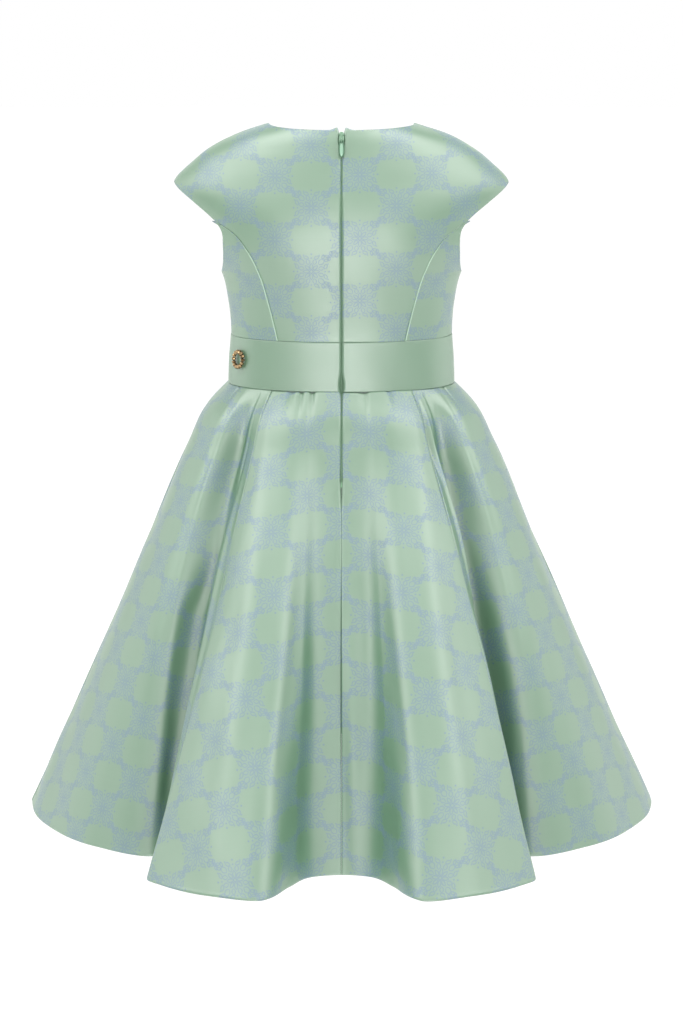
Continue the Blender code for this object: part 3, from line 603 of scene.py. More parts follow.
def shell_mesh(name, outer, inner, pattern, normals):
    """A closed shell between two grids of points: the right side of the cloth, its reverse
    and a rim. The pattern's metres go into its UV map."""
    rows, columns = outer.shape[:2]
    index = np.arange(rows * columns).reshape(rows, columns)
    face = grid_faces(index)
    rim = np.concatenate([index[0], index[1:, -1], index[-1, -2::-1], index[-2:0:-1, 0]])
    after = np.roll(rim, -1)
    behind = rows * columns
    sides = np.stack([rim, rim + behind, after + behind, after], 1)
    across = outer[rows // 2, columns // 2 + 1] - outer[rows // 2, columns // 2]
    along = outer[rows // 2 + 1, columns // 2] - outer[rows // 2, columns // 2]
    faces = np.concatenate([face, face[:, ::-1] + behind, sides])
    if np.cross(across, along) @ normals[rows // 2, columns // 2] < 0:
        faces = faces[:, ::-1]
    mesh = bpy.data.meshes.new(name)
    points = np.concatenate([outer.reshape(-1, 3), inner.reshape(-1, 3)])
    mesh.from_pydata(points.tolist(), [], faces.tolist())
    reverse = np.zeros(len(faces), np.int32)
    reverse[len(face):2 * len(face)] = 1
    mesh.polygons.foreach_set("material_index", reverse)
    corners = np.empty(len(mesh.loops), np.int32)
    mesh.loops.foreach_get("vertex_index", corners)
    flat = pattern.reshape(-1, 2)[corners % behind]
    mesh.uv_layers.new(name="cloth").data.foreach_set("uv", flat.astype(np.float32).ravel())
    mesh.shade_smooth()
    return mesh


def placed(name, data):
    """A new object in the scene."""
    thing = bpy.data.objects.new(name, data)
    bpy.context.scene.collection.objects.link(thing)
    return thing


def add_piece(name, mesh, body, materials, nodes=()):
    """Puts a mesh into the scene as a piece of the dress."""
    piece = placed(name, mesh)
    for material in materials:
        mesh.materials.append(material)
    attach(piece, body)
    if nodes:
        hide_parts(*nodes)
    return piece


def add_panel(name, points, normals, rise, pattern, materials):
    """A cloth panel: a thin shell whose outer face is the surface, moved out by the rise."""
    outer = points + rise[..., None] * normals
    mesh = shell_mesh(name, outer, outer - CLOTH * normals, pattern, normals)
    piece = add_piece(name + "_cloth", mesh, "dress", materials, [name])
    flat_area(pattern)


def bodice_panel(name, angle, levels, edges, materials,
                 side=1, grain=0.5, proud=0.0, peak=0.0):
    """A panel of the bodice or the band, mirrored to the wearer's left for side -1. It may
    stand a little proud, and rise to a small peak where its first edge ends at the neck."""
    level = np.broadcast_to(levels[:, None], angle.shape)
    turn = np.array([side, 1, 1])
    points, normals = bodice(angle, level) * turn, bodice_normals(angle, level) * turn
    flat = flat_pattern(points, grain)
    flat[..., 0] *= side
    flat += PATTERN_PHASE.get(name, (0.0, 0.0))
    rise = proud + edge_rise(points, edges(points)) + unevenness(flat, *BODICE_UNEVENNESS)
    if peak:
        near_zip = np.exp(-(distance_to(points, points[:, 0]) / NECK_PEAK_WIDTH) ** 2)
        points[..., 2] += peak * near_zip * ease(1 + level / NECK_PEAK_DEPTH)
    add_panel(name, points, normals, rise, flat, materials)


def add_centre_panels(jacquard):
    levels = centre_levels()
    meeting = armhole_levels()[SIDE_PANEL_ARMHOLE_ROWS]
    beside_seam = levels < meeting + STEP / 10
    seam_rows = int(beside_seam.sum())
    tip_rows = int((levels < SHOULDER_TIP + STEP / 10).sum())

    def side_edges(points, place):
        return [
            ("piped", points[:seam_rows, place]), ("seam", points[tip_rows - 1:, place]),
            ("finished", points[seam_rows - 1:tip_rows, place]),
        ]

    def back_edges(points):
        ends = [("zip", points[:, 0]), ("band", points[0]), ("finished", points[-1])]
        return ends + side_edges(points, -1)

    def front_edges(points):
        ends = [("band", points[0]), ("finished", points[-1])]
        return ends + side_edges(points, 0) + side_edges(points, -1)

    back, front = (
        np.where(beside_seam, seam_angle(levels, in_front, -1), armhole_angle(levels, in_front))
        for in_front in (False, True)
    )
    beside_zip = angle_at(zip_half_gap(levels), levels)
    angle = stations(bodice, beside_zip, back, levels, COLUMN_SPACING)
    for side, hand in HANDS:
        bodice_panel("bodice_centre_back_" + hand, angle, levels, back_edges,
                     jacquard, side, grain=0.0, peak=NECK_PEAK)
    half = stations(bodice, front, np.full_like(front, math.pi), levels, COLUMN_SPACING)
    angle = np.concatenate([half, 2 * math.pi - half[:, -2::-1]], axis=1)
    bodice_panel("bodice_centre_front", angle, levels, front_edges, jacquard)


def add_side_panels(jacquard):
    levels = side_levels()
    under = int((levels < UNDERARM + STEP / 10).sum())

    def edges(points):
        return [
            ("piped", points[:, 0]), ("band", points[0]),
            ("seam", points[:under, -1]), ("finished", points[under - 1:, -1]),
        ]

    for in_front, part in ((False, "back"), (True, "front")):
        first, last = seam_angle(levels, in_front, 1), armhole_angle(levels, in_front)
        angle = stations(bodice, first, last, levels, COLUMN_SPACING)
        for side, hand in HANDS:
            bodice_panel(f"bodice_side_{part}_{hand}", angle, levels, edges,
                         jacquard, side)


def add_piping(satin):
    """The cord in the four curved seams: a thin tube that lies in each seam. Its pale colour is
    painted highlight along each seam's ridge.
    """
    levels = np.linspace(BAND_TOP + SEAM_GAP, PIPING_ENDS, PIPING_RINGS)
    fade = ease((levels - PIPING_FADES_FROM) / (PIPING_ENDS - PIPING_FADES_FROM))
    radius = PIPING_END_RADIUS + (PIPING_RADIUS - PIPING_END_RADIUS) * (1 - fade)
    ring = full_turn(8)
    cords = []
    for in_front in (False, True):
        angle = seam_angle(levels, in_front, 0)
        normals = bodice_normals(angle, levels)
        path = bodice(angle, levels) + (PIPING_LIFT - PIPING_RADIUS / 2) * normals
        for side, _ in HANDS:
            turn = np.array([side, 1, 1])
            cords.append(tube_mesh("cord", path * turn, normals * turn, radius, ring))
    cord = joined("cords", cords)
    cord.uv_layers.new(name="cloth")
    add_piece("seam_piping", cord, "dress", [satin])


def add_waistband(satin):
    levels = edge_rows(BAND_BOTTOM, BAND_TOP, ROW_SPACING)
    side_seam = side_angle(SEAM_GAP / 2, levels)

    def edges(points, first):
        ends = [("band", points[0]), ("band", points[-1])]
        return ends + [(first, points[:, 0]), ("seam", points[:, -1])]

    def back_edges(points):
        return edges(points, "zip")

    def front_edges(points):
        return edges(points, "seam")

    beside_zip = angle_at(zip_half_gap(levels), levels)
    angle = stations(bodice, beside_zip, side_seam, levels, COLUMN_SPACING)
    for side, hand in HANDS:
        bodice_panel("waistband_back_" + hand, angle, levels, back_edges, satin,
                     side, grain=0.0, proud=BAND_PROUD)
    angle = stations(bodice, math.pi - side_seam, math.pi + side_seam, levels, COLUMN_SPACING)
    bodice_panel("waistband_front", angle, levels, front_edges, satin,
                 proud=BAND_PROUD)


def crease_rise(place, drop, side):
    """The skirt's creases. Across, each is a bell curve. Along, it swells and dies away in
    a half wave, or falls from its full depth where it starts at the band."""
    rise = np.zeros_like(place)
    for on_side, top_fold, top_drop, foot_fold, foot_drop, width, height in CREASES:
        if on_side not in (0, side):
            continue
        share = (drop - top_drop) / (foot_drop - top_drop)
        fold = top_fold + (foot_fold - top_fold) * share
        line = np.interp(fold, np.arange(len(FOLDS)), ROUND_PLACES)
        near = np.abs(place - line) < CREASE_REACH * width
        if top_drop > 0:
            along = np.sin(math.pi * np.clip(share, 0, 1)) ** CREASE_SWELL
        else:
            along = np.clip(1 - share, 0, 1) ** 2
        across = (place - line) * crease_rate(drop)
        rise += np.where(near, height * along * np.exp(-(across / width) ** 2), 0.0)
    return rise


def crease_rate(drop):
    """About how much cloth there is round the skirt for a metre of hem, at each drop."""
    return CLOTH_SHARE_AT_BAND + (1 - CLOTH_SHARE_AT_BAND) * drop


def skirt_edges(points, heights, first):
    """A skirt panel's edges with their kinds, down from the band."""
    edges = [("band", points[0]), ("finished", points[-1]), ("seam", points[:, -1])]
    zipped = int((heights > ZIP_CLOSES).sum()) if first == "centre_back" else 0
    if zipped:
        edges.append(("zip", points[:zipped, 0]))
    return edges + [("seam", points[zipped:, 0])]


def add_skirt(jacquard):
    heights = edge_rows(HEM, BAND_BOTTOM - SEAM_GAP, ROW_SPACING)[::-1]
    drops = (heights - BAND_BOTTOM) / (HEM - BAND_BOTTOM)
    panels = (
        ("skirt_back", "centre_back", "back_seam", 0.0),
        ("skirt_side_back", "back_seam", "side_seam", 0.5),
        ("skirt_side_front", "side_seam", "front_seam", 0.5),
    )

    def places(first, last):
        start, end = (ROUND_PLACES[FOLD_NAMES.index(name)] for name in (first, last))
        gap = zip_half_gap(heights) if first == "centre_back" else SEAM_GAP / 2
        low = start + gap / cloth_rate(skirt, start, drops)
        high = end - SEAM_GAP / 2 / cloth_rate(skirt, end, drops)
        return stations(skirt, low, high, drops, COLUMN_SPACING)

    def finish(name, points, normals, edges, creases, grain, side):
        flat = flat_pattern(points, grain, flared=True) * (side, -1) + PATTERN_PHASE[name]
        rise = edge_rise(points, edges) + creases + unevenness(flat, *SKIRT_UNEVENNESS)
        add_panel(name, points, normals, rise, flat, jacquard)

    for name, first, last, grain in panels:
        place = places(first, last)
        drop = np.broadcast_to(drops[:, None], place.shape)
        surface, facing = skirt(place, drop), skirt_normals(place, drop)
        for side, hand in HANDS:
            turn = np.array([side, 1, 1])
            points = surface * turn
            edges = skirt_edges(points, heights, first)
            creases = crease_rise(place, drop, side)
            finish(f"{name}_{hand}", points, facing * turn, edges, creases, grain, side)
    place = places("front_seam", "centre_front")
    place[:, -1] = ROUND_PLACES[-1]
    drop = np.broadcast_to(drops[:, None], place.shape)
    points, normals = (
        np.concatenate([half, half[:, -2::-1] * MIRROR], axis=1)
        for half in (skirt(place, drop), skirt_normals(place, drop))
    )
    right, left = crease_rise(place, drop, 1), crease_rise(place, drop, -1)
    creases = np.concatenate([right, left[:, -2::-1]], axis=1)
    edges = skirt_edges(points, heights, "front_seam")
    finish("skirt_front", points, normals, edges, creases, 0.5, 1)


def centre_back_line(heights):
    """The outer face along the centre back, its points and its normals, from the neck edge
    over the band and down the skirt."""
    on_skirt = heights < BAND_BOTTOM
    drop = np.clip((heights - BAND_BOTTOM) / (HEM - BAND_BOTTOM), 0, 1)
    level = np.clip(heights, BAND_BOTTOM, 0.0)
    points = np.where(on_skirt[:, None], skirt(0.0, drop), bodice(0.0, level))
    normals = np.where(on_skirt[:, None], skirt_normals(0.0, drop), bodice_normals(0.0, level))
    return points, normals


def ring_mesh(name, points, flat_shaded=False, closed=True):
    """A tube of rings: each row of points is a ring, joined to the next, and the last to
    the first where the tube is closed. Otherwise its ends are filled."""
    rows, columns = points.shape[:2]
    index = np.arange(rows * columns).reshape(rows, columns)
    if closed:
        index = np.concatenate([index, index[:1]])
    index = np.concatenate([index, index[:, :1]], axis=1)
    faces = grid_faces(index).tolist()
    if not closed:
        faces += [index[0, :-1].tolist(), index[-1, -2::-1].tolist()]
    mesh = bpy.data.meshes.new(name)
    mesh.from_pydata(points.reshape(-1, 3).tolist(), [], faces)
    shape = bmesh.new()
    shape.from_mesh(mesh)
    bmesh.ops.recalc_face_normals(shape, faces=shape.faces)
    shape.to_mesh(mesh)
    shape.free()
    if not flat_shaded:
        mesh.shade_smooth()
    return mesh


def tube_mesh(name, path, normals, radius, ring):
    """A tube round a path, its rings square to it. Normals tell where its rings start."""
    along = np.gradient(path, axis=0)
    along /= np.linalg.norm(along, axis=1, keepdims=True)
    first = np.cross(along, normals)
    first /= np.linalg.norm(first, axis=1, keepdims=True)
    second = np.cross(first, along)
    away = np.cos(ring)[:, None] * first[:, None] + np.sin(ring)[:, None] * second[:, None]
    radius = np.broadcast_to(radius, len(path))
    return ring_mesh(name, path[:, None] + radius[:, None, None] * away, closed=False)


def joined(name, meshes):
    """One mesh of several."""
    shape = bmesh.new()
    for mesh in meshes:
        shape.from_mesh(mesh)
    whole = bpy.data.meshes.new(name)
    shape.to_mesh(whole)
    shape.free()
    for mesh in meshes:
        bpy.data.meshes.remove(mesh)
    return whole


def add_zip(tape_material, coil_material):
    """The tape, a thin strip behind the panels, and the coil, two interlocking helices of
    fine wire that stand in the gap between them."""
    heights = edge_rows(ZIP_END + TAPE_ABOVE_END, -TAPE_BELOW_NECK, TAPE_ROW_SPACING)[::-1]
    points, normals = centre_back_line(heights)
    across = np.linspace(-TAPE_HALF_WIDTH, TAPE_HALF_WIDTH, TAPE_POINTS_ACROSS)
    face = points[:, None] + across[:, None] * np.array((1.0, 0, 0)) - TAPE_SUNK * normals[:, None]
    back = face - TAPE_THICKNESS * normals[:, None]
    flat = np.stack(np.broadcast_arrays(across, heights[:, None]), -1)
    mesh = shell_mesh("tape", face, back, flat, np.broadcast_to(normals[:, None], face.shape))
    both_sides = [tape_material, tape_material]
    tape = add_piece("zip_tape_strip", mesh, "dress", both_sides, ["zip_tape"])
    length = np.ptp(heights) - COIL_SHORTER
    turns = int(length / COIL_PITCH)
    share = np.linspace(0, 1, turns * COIL_POINTS_A_TURN)
    level = COIL_STARTS - share * length
    points, normals = centre_back_line(level)
    ring = full_turn(6)
    coils = []
    for side, _ in HANDS:
        turn = side * 2 * math.pi * turns * share + math.pi / 2 * side
        sideways = side * COIL_APART + COIL_RADIUS * np.cos(turn)
        lift = -COIL_SUNK + COIL_FLATNESS * COIL_RADIUS * np.sin(turn)
        path = points + sideways[:, None] * np.array((1.0, 0, 0)) + lift[:, None] * normals
        coils.append(tube_mesh("coil", path, normals, COIL_WIRE, ring))
    add_piece("zip_coil", joined("zip_coil", coils), "dress", [coil_material])


def hinge_frame():
    """The pull's hinge: local X runs across the back, local Y up along the cloth and
    local Z out of it, from a place a little above the cloth."""
    points, normals = centre_back_line(np.array([HINGE_LEVEL]))
    outward = Vector(normals[0])
    across = Vector((1, 0, 0))
    rotation = Matrix((across, outward.cross(across), outward)).transposed()
    return Matrix.Translation(Vector(points[0]) + HINGE_HEIGHT * outward) @ rotation.to_4x4()


def squared(wave, power):
    """A wave with its humps made square, the more so the lower the power."""
    return np.sign(wave) * np.abs(wave) ** power


def add_slider(enamel, groove_painted_shade_enamel):
    """The slider: a rounded plate, narrower towards its foot, with the round lug that the
    pull hangs from. The plate is an oval raised to a low power both ways. Its two grooves
    take the darker enamel, painted shade in them."""
    turn = full_turn(48)
    rise = np.linspace(-math.pi / 2, math.pi / 2, 17)[1:-1]
    level, round_turn = np.meshgrid(rise, turn, indexing="ij")
    shrink = np.abs(np.cos(level)) ** SLIDER_ROUNDING
    along = squared(np.sin(round_turn), SLIDER_CORNERS) * shrink
    taper = 1 - SLIDER_TAPER * np.clip(-along, 0, 1)
    middle = SLIDER_ABOVE_HINGE - SLIDER_LENGTH / 2
    below = HINGE_HEIGHT - CAD_SEAM_GAP - SLIDER_THICKNESS / 2
    bells = [np.exp(-((along - place) / SLIDER_GROOVE_WIDTH) ** 2) for place in SLIDER_GROOVES]
    groove = np.maximum(*bells) * (np.sin(level) > 0)
    crowned = squared(np.sin(level), SLIDER_FLATNESS) * (1 + SLIDER_CROWN * (1 - along**2))
    plate = np.stack([
        SLIDER_WIDTH / 2 * squared(np.cos(round_turn), SLIDER_CORNERS) * shrink * taper,
        middle + SLIDER_LENGTH / 2 * along,
        -below + SLIDER_THICKNESS / 2 * crowned - SLIDER_GROOVE * groove,
    ], -1)
    # faces in the grooves get the darker enamel: painted shade
    painted_shade_in_groove = (groove[:-1] + groove[1:] > 1.0).astype(np.int32)
    big, small = full_turn(40)[:, None], full_turn(12)
    out = LUG_RADIUS + LUG_WIRE * np.cos(small)
    lug = np.stack(np.broadcast_arrays(
        LUG_WIRE * np.sin(small), np.cos(big) * out, np.sin(big) * out,
    ), -1)
    body = ring_mesh("plate", plate, closed=False)
    colours = np.zeros(len(body.polygons), np.int32)
    colours[:painted_shade_in_groove.size] = painted_shade_in_groove.ravel()
    body.polygons.foreach_set("material_index", colours)
    mesh = joined("zip_slider", [body, ring_mesh("lug", lug)])
    mesh.transform(hinge_frame())
    add_piece("zip_slider_body", mesh, "dress", [enamel, groove_painted_shade_enamel],
              ["zip_slider"])


def add_pull(enamel, painted_shade_enamel):
    """The pull tab: a flat teardrop with a raised rim round its edge and its eye, the floor
    between sunk. Rings of points run from the outline over the rim and floor to the eye.
    The rim takes a darker green enamel, painted shade on its sloping edges."""
    turn = full_turn(72)
    share = (1 - np.cos(turn)) / 2
    across = np.sin(turn) * (1 + PULL_FOOT_SWELL * (share - PULL_WIDEST))
    half = PULL_THICKNESS / 2
    eye_middle = -PULL_BAR - PULL_EYE_LENGTH / 2

    def outline(inset):
        length = PULL_LENGTH - 2 * inset
        return (PULL_WIDTH / 2 - inset) * across, PULL_BAR - inset - length * share

    def eye(outset):
        return (
            (PULL_EYE_WIDTH / 2 + outset) * np.sin(turn),
            eye_middle + (PULL_EYE_LENGTH / 2 + outset) * np.cos(turn),
        )

    floor = half - PULL_RECESS
    foot, crest, lip = PULL_EYE_RINGS
    rings = (
        (outline(0), 0.0), (outline(0), half - PULL_ROUNDING), (outline(PULL_ROUNDING), half),
        (outline(PULL_RIM), half), (outline(PULL_RIM + PULL_RECESS), floor),
        (eye(foot), floor), (eye(crest), half), (eye(lip), half),
        (eye(0), half - lip), (eye(0), 0.0),
    )
    top = np.stack([
        np.stack([out, along, np.full_like(out, rise)], -1) for (out, along), rise in rings
    ])
    under = top[-2:0:-1] * (1, 1, -1)
    mesh = ring_mesh("zip_pull", np.concatenate([top, under]))
    # the rims of the edge and the eye take the darker enamel: painted shade
    rim_painted_shade = np.zeros((len(top) + len(under), len(turn)), np.int32)
    rim_painted_shade[:4] = 1
    rim_painted_shade[5:9] = 1
    rim_painted_shade[-4:] = 1
    mesh.polygons.foreach_set("material_index", rim_painted_shade.ravel())
    mesh.set_sharp_from_angle(angle=math.radians(60))
    mesh.transform(hinge_frame() @ Matrix.Rotation(PULL_TILT, 4, "X"))
    add_piece("zip_pull_tab", mesh, "pull_tab", [enamel, painted_shade_enamel], ["zip_pull"])


def add_beads(gold_and_painted_reflections):
    """A ring of small facetted beads sewn on the band. Each bead is a sphere of eight by
    four flat facets, its hole along the ring, and the ring is laid on the band: each point
    stands as far along, up and off the band as it does from the ring's own middle."""
    around = full_turn(BEAD_FACETS)
    rise = np.radians(BEAD_LATITUDES)[:, None]
    facet = np.stack(np.broadcast_arrays(
        np.sin(rise), np.cos(rise) * np.cos(around), np.cos(rise) * np.sin(around),
    ), -1)
    middle = angle_at(BEAD_RING_OUT, BEAD_RING_HEIGHT)
    rate = float(cloth_rate(bodice, np.array(middle), np.array(BEAD_RING_HEIGHT)))
    meshes = []
    for bead in range(BEADS):
        turn = 2 * math.pi * bead / BEADS
        size = BEAD_RADIUS * (1 + BEAD_UNEVENNESS * math.sin(5.3 * bead))
        spin = Matrix.Rotation(turn + math.pi / 2, 3, "Z") @ Matrix.Rotation(1.7 * bead, 3, "X")
        shaped = facet * (size * BEAD_SQUEEZE, size, size) @ np.array(spin).T
        shaped += BEAD_RING_RADIUS * np.array((math.cos(turn), math.sin(turn), 0))
        level = BEAD_RING_HEIGHT + shaped[..., 1]
        angle = middle + shaped[..., 0] / rate
        off = BAND_PROUD + CAD_SEAM_GAP + BEAD_RADIUS + shaped[..., 2]
        points = bodice(angle, level) + off[..., None] * bodice_normals(angle, level)
        meshes.append(ring_mesh("bead", points * MIRROR, flat_shaded=True, closed=False))
    add_piece("bead_ring_beads", joined("bead_ring", meshes), "dress", [gold_and_painted_reflections],
              ["bead_ring"])


def math_node(operation):
    """A method that puts a field, and another value where there is one, through a math node."""
    def method(self, *others):
        return self.made(operation, self, *others)
    return method


class Field:
    """A number that varies over a surface, the output of a node, to reckon with."""

    def __init__(self, tree, socket):
        self.tree = tree
        self.socket = socket

    def made(self, operation, *values, clamp=False):
        node = self.tree.nodes.new("ShaderNodeMath")
        node.operation = operation
        node.use_clamp = clamp
        for socket, value in zip(node.inputs, values):
            if isinstance(value, Field):
                self.tree.links.new(value.socket, socket)
            else:
                socket.default_value = value
        return Field(self.tree, node.outputs[0])

    __add__ = math_node("ADD")
    __sub__ = math_node("SUBTRACT")
    __mul__ = math_node("MULTIPLY")
    __truediv__ = math_node("DIVIDE")
    __abs__ = math_node("ABSOLUTE")
    wave = math_node("SINE")
    rounded = math_node("ROUND")
    least = math_node("MINIMUM")
    most = math_node("MAXIMUM")
    power = math_node("POWER")
    below = math_node("LESS_THAN")

    def __rsub__(self, other):
        return self.made("SUBTRACT", other, self)

    def length(self, other):
        return (self * self + other * other).power(0.5)

    def chosen(self, where, other):
        """This value where the mask is 1, the other where it is 0."""
        return other + (self - other) * where

    def soft_below(self, edge, softness):
        """1 below the edge, falling to 0 over twice the softness about it."""
        return self.made("ADD", (edge - self) / (2 * softness), 0.5, clamp=True)


def new_group(name, inputs, outputs):
    """A shader node group with named sockets, its input node and its output node."""
    tree = bpy.data.node_groups.new(name, "ShaderNodeTree")
    for label, kind in inputs:
        tree.interface.new_socket(name=label, in_out="INPUT", socket_type="NodeSocket" + kind)
    for label, kind in outputs:
        tree.interface.new_socket(name=label, in_out="OUTPUT", socket_type="NodeSocket" + kind)
    return tree, tree.nodes.new("NodeGroupInput"), tree.nodes.new("NodeGroupOutput")


def cloth_place(tree, enter):
    """Metres across and up the cloth, as fields, from a group's input."""
    split = tree.nodes.new("ShaderNodeSeparateXYZ")
    tree.links.new(enter.outputs["Cloth"], split.inputs[0])
    return Field(tree, split.outputs[0]), Field(tree, split.outputs[1])


# Outlined petals and loops of one eighth of the rosette, in millimetres from its middle:
# where each lies (along and up), its half length, its half width, its turn in degrees and
# whether it is pointed
PETALS = (
    (4.7, 0.0, 3.1, 1.4, 0.0, 1),
    (3.7, 3.7, 2.8, 1.3, 45.0, 1),
    (9.2, 3.1, 2.5, 1.7, 12.0, 1),
    (9.4, 8.9, 3.1, 1.9, 40.0, 1),
    (13.4, 4.9, 2.6, 1.4, 68.0, 1),
    (13.9, 10.9, 1.9, 1.1, 15.0, 0),
)
# Small solid buds of the same eighth: where each lies (along and up) and its half width
BUDS = ((16.6, 0.0, 0.8), (12.9, 0.0, 0.7), (15.6, 7.3, 0.6))
ROSETTE_EYE = 1.5
# A patch of floats lies under each rosette and sprig: how far it reaches and how softly
# it ends
ROSETTE_REACH = 13.6
ROSETTE_SOFTNESS = 3.2
SPRIG_REACH = 3.6
SPRIG_SOFTNESS = 1.4
# Leaves and the berry of the sprig between two rosettes, given like the petals
SPRIG = ((-2.4, 1.9, 1.8, 1.0, -35.0, 1), (0.0, 0.0, 1.3, 1.3, 0.0, 0))
LINE = 0.38
SOFT = 0.34
MILLIMETRES = 1000
SLUB_SCALE = (14, 420, 1)


def petal_line(x, y, petal):
    """The outline of one petal: where a place's distance from the petal's middle, in the
    petal's own half length and half width, is near 1. A pointed petal is two arcs."""
    where, up, half_length, half_width, turn, pointed = petal
    angle = math.radians(turn)
    from_x, from_y = x - where, y - up
    lengthways = (from_x * math.cos(angle) + from_y * math.sin(angle)) / half_length
    sideways = (from_y * math.cos(angle) - from_x * math.sin(angle)) / half_width
    reach = abs(sideways) + lengthways * lengthways if pointed else lengthways.length(sideways)
    return (abs(reach - 1) * half_width).soft_below(LINE, SOFT)


def jacquard_group():
    """The woven figure: rosettes of outlined petals, loops and buds, in two sets of rows and
    columns, the second half a repeat aside and up, joined by sprigs between diagonal
    neighbours. The nearest rosette's middle gives local places, folded into one eighth."""
    tree, enter, leave = new_group(
        "jacquard_figure", [("Cloth", "Vector")], [("Figure", "Float"), ("Patch", "Float")],
    )
    x, y = (place * MILLIMETRES for place in cloth_place(tree, enter))
    width, height = REPEAT_WIDTH * MILLIMETRES, REPEAT_HEIGHT * MILLIMETRES
    first_x = abs(x - (x / width).rounded() * width)
    first_y = abs(y - (y / height).rounded() * height)
    second_x, second_y = abs(first_x - width / 2), abs(first_y - height / 2)
    nearer = first_x.length(first_y).below(second_x.length(second_y))
    across, along = first_x.chosen(nearer, second_x), first_y.chosen(nearer, second_y)
    big, small = across.most(along), across.least(along)
    figure = abs(across.length(along) - ROSETTE_EYE).soft_below(LINE, SOFT)
    for petal in PETALS:
        figure = figure.most(petal_line(big, small, petal))
    for where, up, half_width in BUDS:
        figure = figure.most((big - where).length(small - up).soft_below(half_width, SOFT))
    diagonal = math.hypot(width, height)
    from_x, from_y = across - width / 4, along - height / 4
    lengthways = (from_x * width + from_y * height) / diagonal
    sideways = abs(from_y * width - from_x * height) / diagonal
    stem = sideways.soft_below(LINE, SOFT) * abs(lengthways).soft_below(SPRIG_REACH, SOFT)
    figure = figure.most(stem)
    for petal in SPRIG:
        figure = figure.most(petal_line(lengthways, sideways, petal))
    rounded_square = (across.power(4) + along.power(4)).power(0.25)
    patch = rounded_square.soft_below(ROSETTE_REACH, ROSETTE_SOFTNESS)
    patch = patch.most(lengthways.length(sideways).soft_below(SPRIG_REACH, SPRIG_SOFTNESS))
    tree.links.new(figure.socket, leave.inputs["Figure"])
    tree.links.new(patch.socket, leave.inputs["Patch"])
    return tree


def weave_group():
    """The threads: satin floats are fine ribs across the cloth, and where the figure is
    woven they turn to lie along it. Slubs are long faint streaks in the weft."""
    tree, enter, leave = new_group(
        "satin_weave", [("Cloth", "Vector"), ("Figure", "Float"), ("Threads", "Float")],
        [("Height", "Float"), ("Slub", "Float")],
    )
    threads = Field(tree, enter.outputs["Threads"])
    x, y = (place * threads * (2 * math.pi) for place in cloth_place(tree, enter))
    floats = (y + (x * 0.2).wave() * 0.5).wave()
    turned = (x + (y * 0.5).wave() * 0.5).wave()
    figure = Field(tree, enter.outputs["Figure"])
    height = turned.chosen(figure, floats) * 0.5 + figure * 1.2
    stretch = tree.nodes.new("ShaderNodeMapping")
    stretch.inputs["Scale"].default_value = SLUB_SCALE
    noise = tree.nodes.new("ShaderNodeTexNoise")
    noise.inputs["Scale"].default_value = 1.0
    noise.inputs["Detail"].default_value = 3.0
    tree.links.new(enter.outputs["Cloth"], stretch.inputs["Vector"])
    tree.links.new(stretch.outputs[0], noise.inputs["Vector"])
    tree.links.new(height.socket, leave.inputs["Height"])
    tree.links.new(noise.outputs[0], leave.inputs["Slub"])
    return tree


def mix(tree, factor, first, second):
    """A colour between two, by a factor socket. Each colour is a socket or a plain colour."""
    node = tree.nodes.new("ShaderNodeMix")
    node.data_type = "RGBA"
    tree.links.new(factor, node.inputs[0])
    for socket, value in ((node.inputs[6], first), (node.inputs[7], second)):
        if isinstance(value, bpy.types.NodeSocket):
            tree.links.new(value, socket)
        else:
            socket.default_value = value
    return node.outputs[2]


def ranged(tree, value, low, high):
    """A number from low to high as the value goes from 0 to 1."""
    node = tree.nodes.new("ShaderNodeMapRange")
    tree.links.new(value, node.inputs["Value"])
    node.inputs["To Min"].default_value = low
    node.inputs["To Max"].default_value = high
    return node.outputs[0]


def new_material(name, colour, roughness, metallic=0.0):
    material = bpy.data.materials.new(name)
    material.use_nodes = True
    shader = material.node_tree.nodes["Principled BSDF"]
    shader.inputs["Base Color"].default_value = colour
    shader.inputs["Roughness"].default_value = roughness
    shader.inputs["Metallic"].default_value = metallic
    return material, material.node_tree, shader


def cloth_coordinates(tree):
    node = tree.nodes.new("ShaderNodeUVMap")
    node.uv_map = "cloth"
    return node.outputs[0]


def bump(tree, shader, height, strength, distance):
    node = tree.nodes.new("ShaderNodeBump")
    node.inputs["Strength"].default_value = strength
    node.inputs["Distance"].default_value = distance
    tree.links.new(height, node.inputs["Height"])
    tree.links.new(node.outputs[0], shader.inputs["Normal"])


# The weave: threads a metre, and how strongly and deeply it stands out. Where the figure
# is woven the floats are shorter, rougher and less glossy.
THREADS_A_METRE = 1800
WEAVE_BUMP = (0.3, 0.00006)
SATIN_ROUGHNESS = (0.40, 0.48)
FIGURE_ROUGHNESS = (0.44, 0.56)
FIGURE_GLOSS = (1.0, 0.72)
TAPE_BUMP = (0.3, 0.0002)
TAPE_RIPPLES = 300
MOTTLE_ROUGHNESS = (-0.06, 0.08)
SATIN_INDEX = 1.80
GROUND = (0.066, 0.155, 0.082, 1)
GROUND_DEEP = (0.062, 0.148, 0.077, 1)
PATCH = (0.066, 0.150, 0.100, 1)
FIGURE = (0.066, 0.128, 0.180, 1)
SATIN = (0.070, 0.157, 0.086, 1)
SATIN_DEEP = (0.065, 0.149, 0.080, 1)
# Pale green of the seam cord: painted highlight along the curved seams' ridges
PIPING_PAINTED_HIGHLIGHT = (0.200, 0.330, 0.225, 1)


def satin_gloss(tree, shader, gloss=None):
    """Long silk-like floats: a strong, broad highlight, whose strength may vary."""
    shader.inputs["IOR"].default_value = SATIN_INDEX
    shader.inputs["Specular IOR Level"].default_value = 1.0
    if gloss is not None:
        tree.links.new(gloss, shader.inputs["Specular IOR Level"])


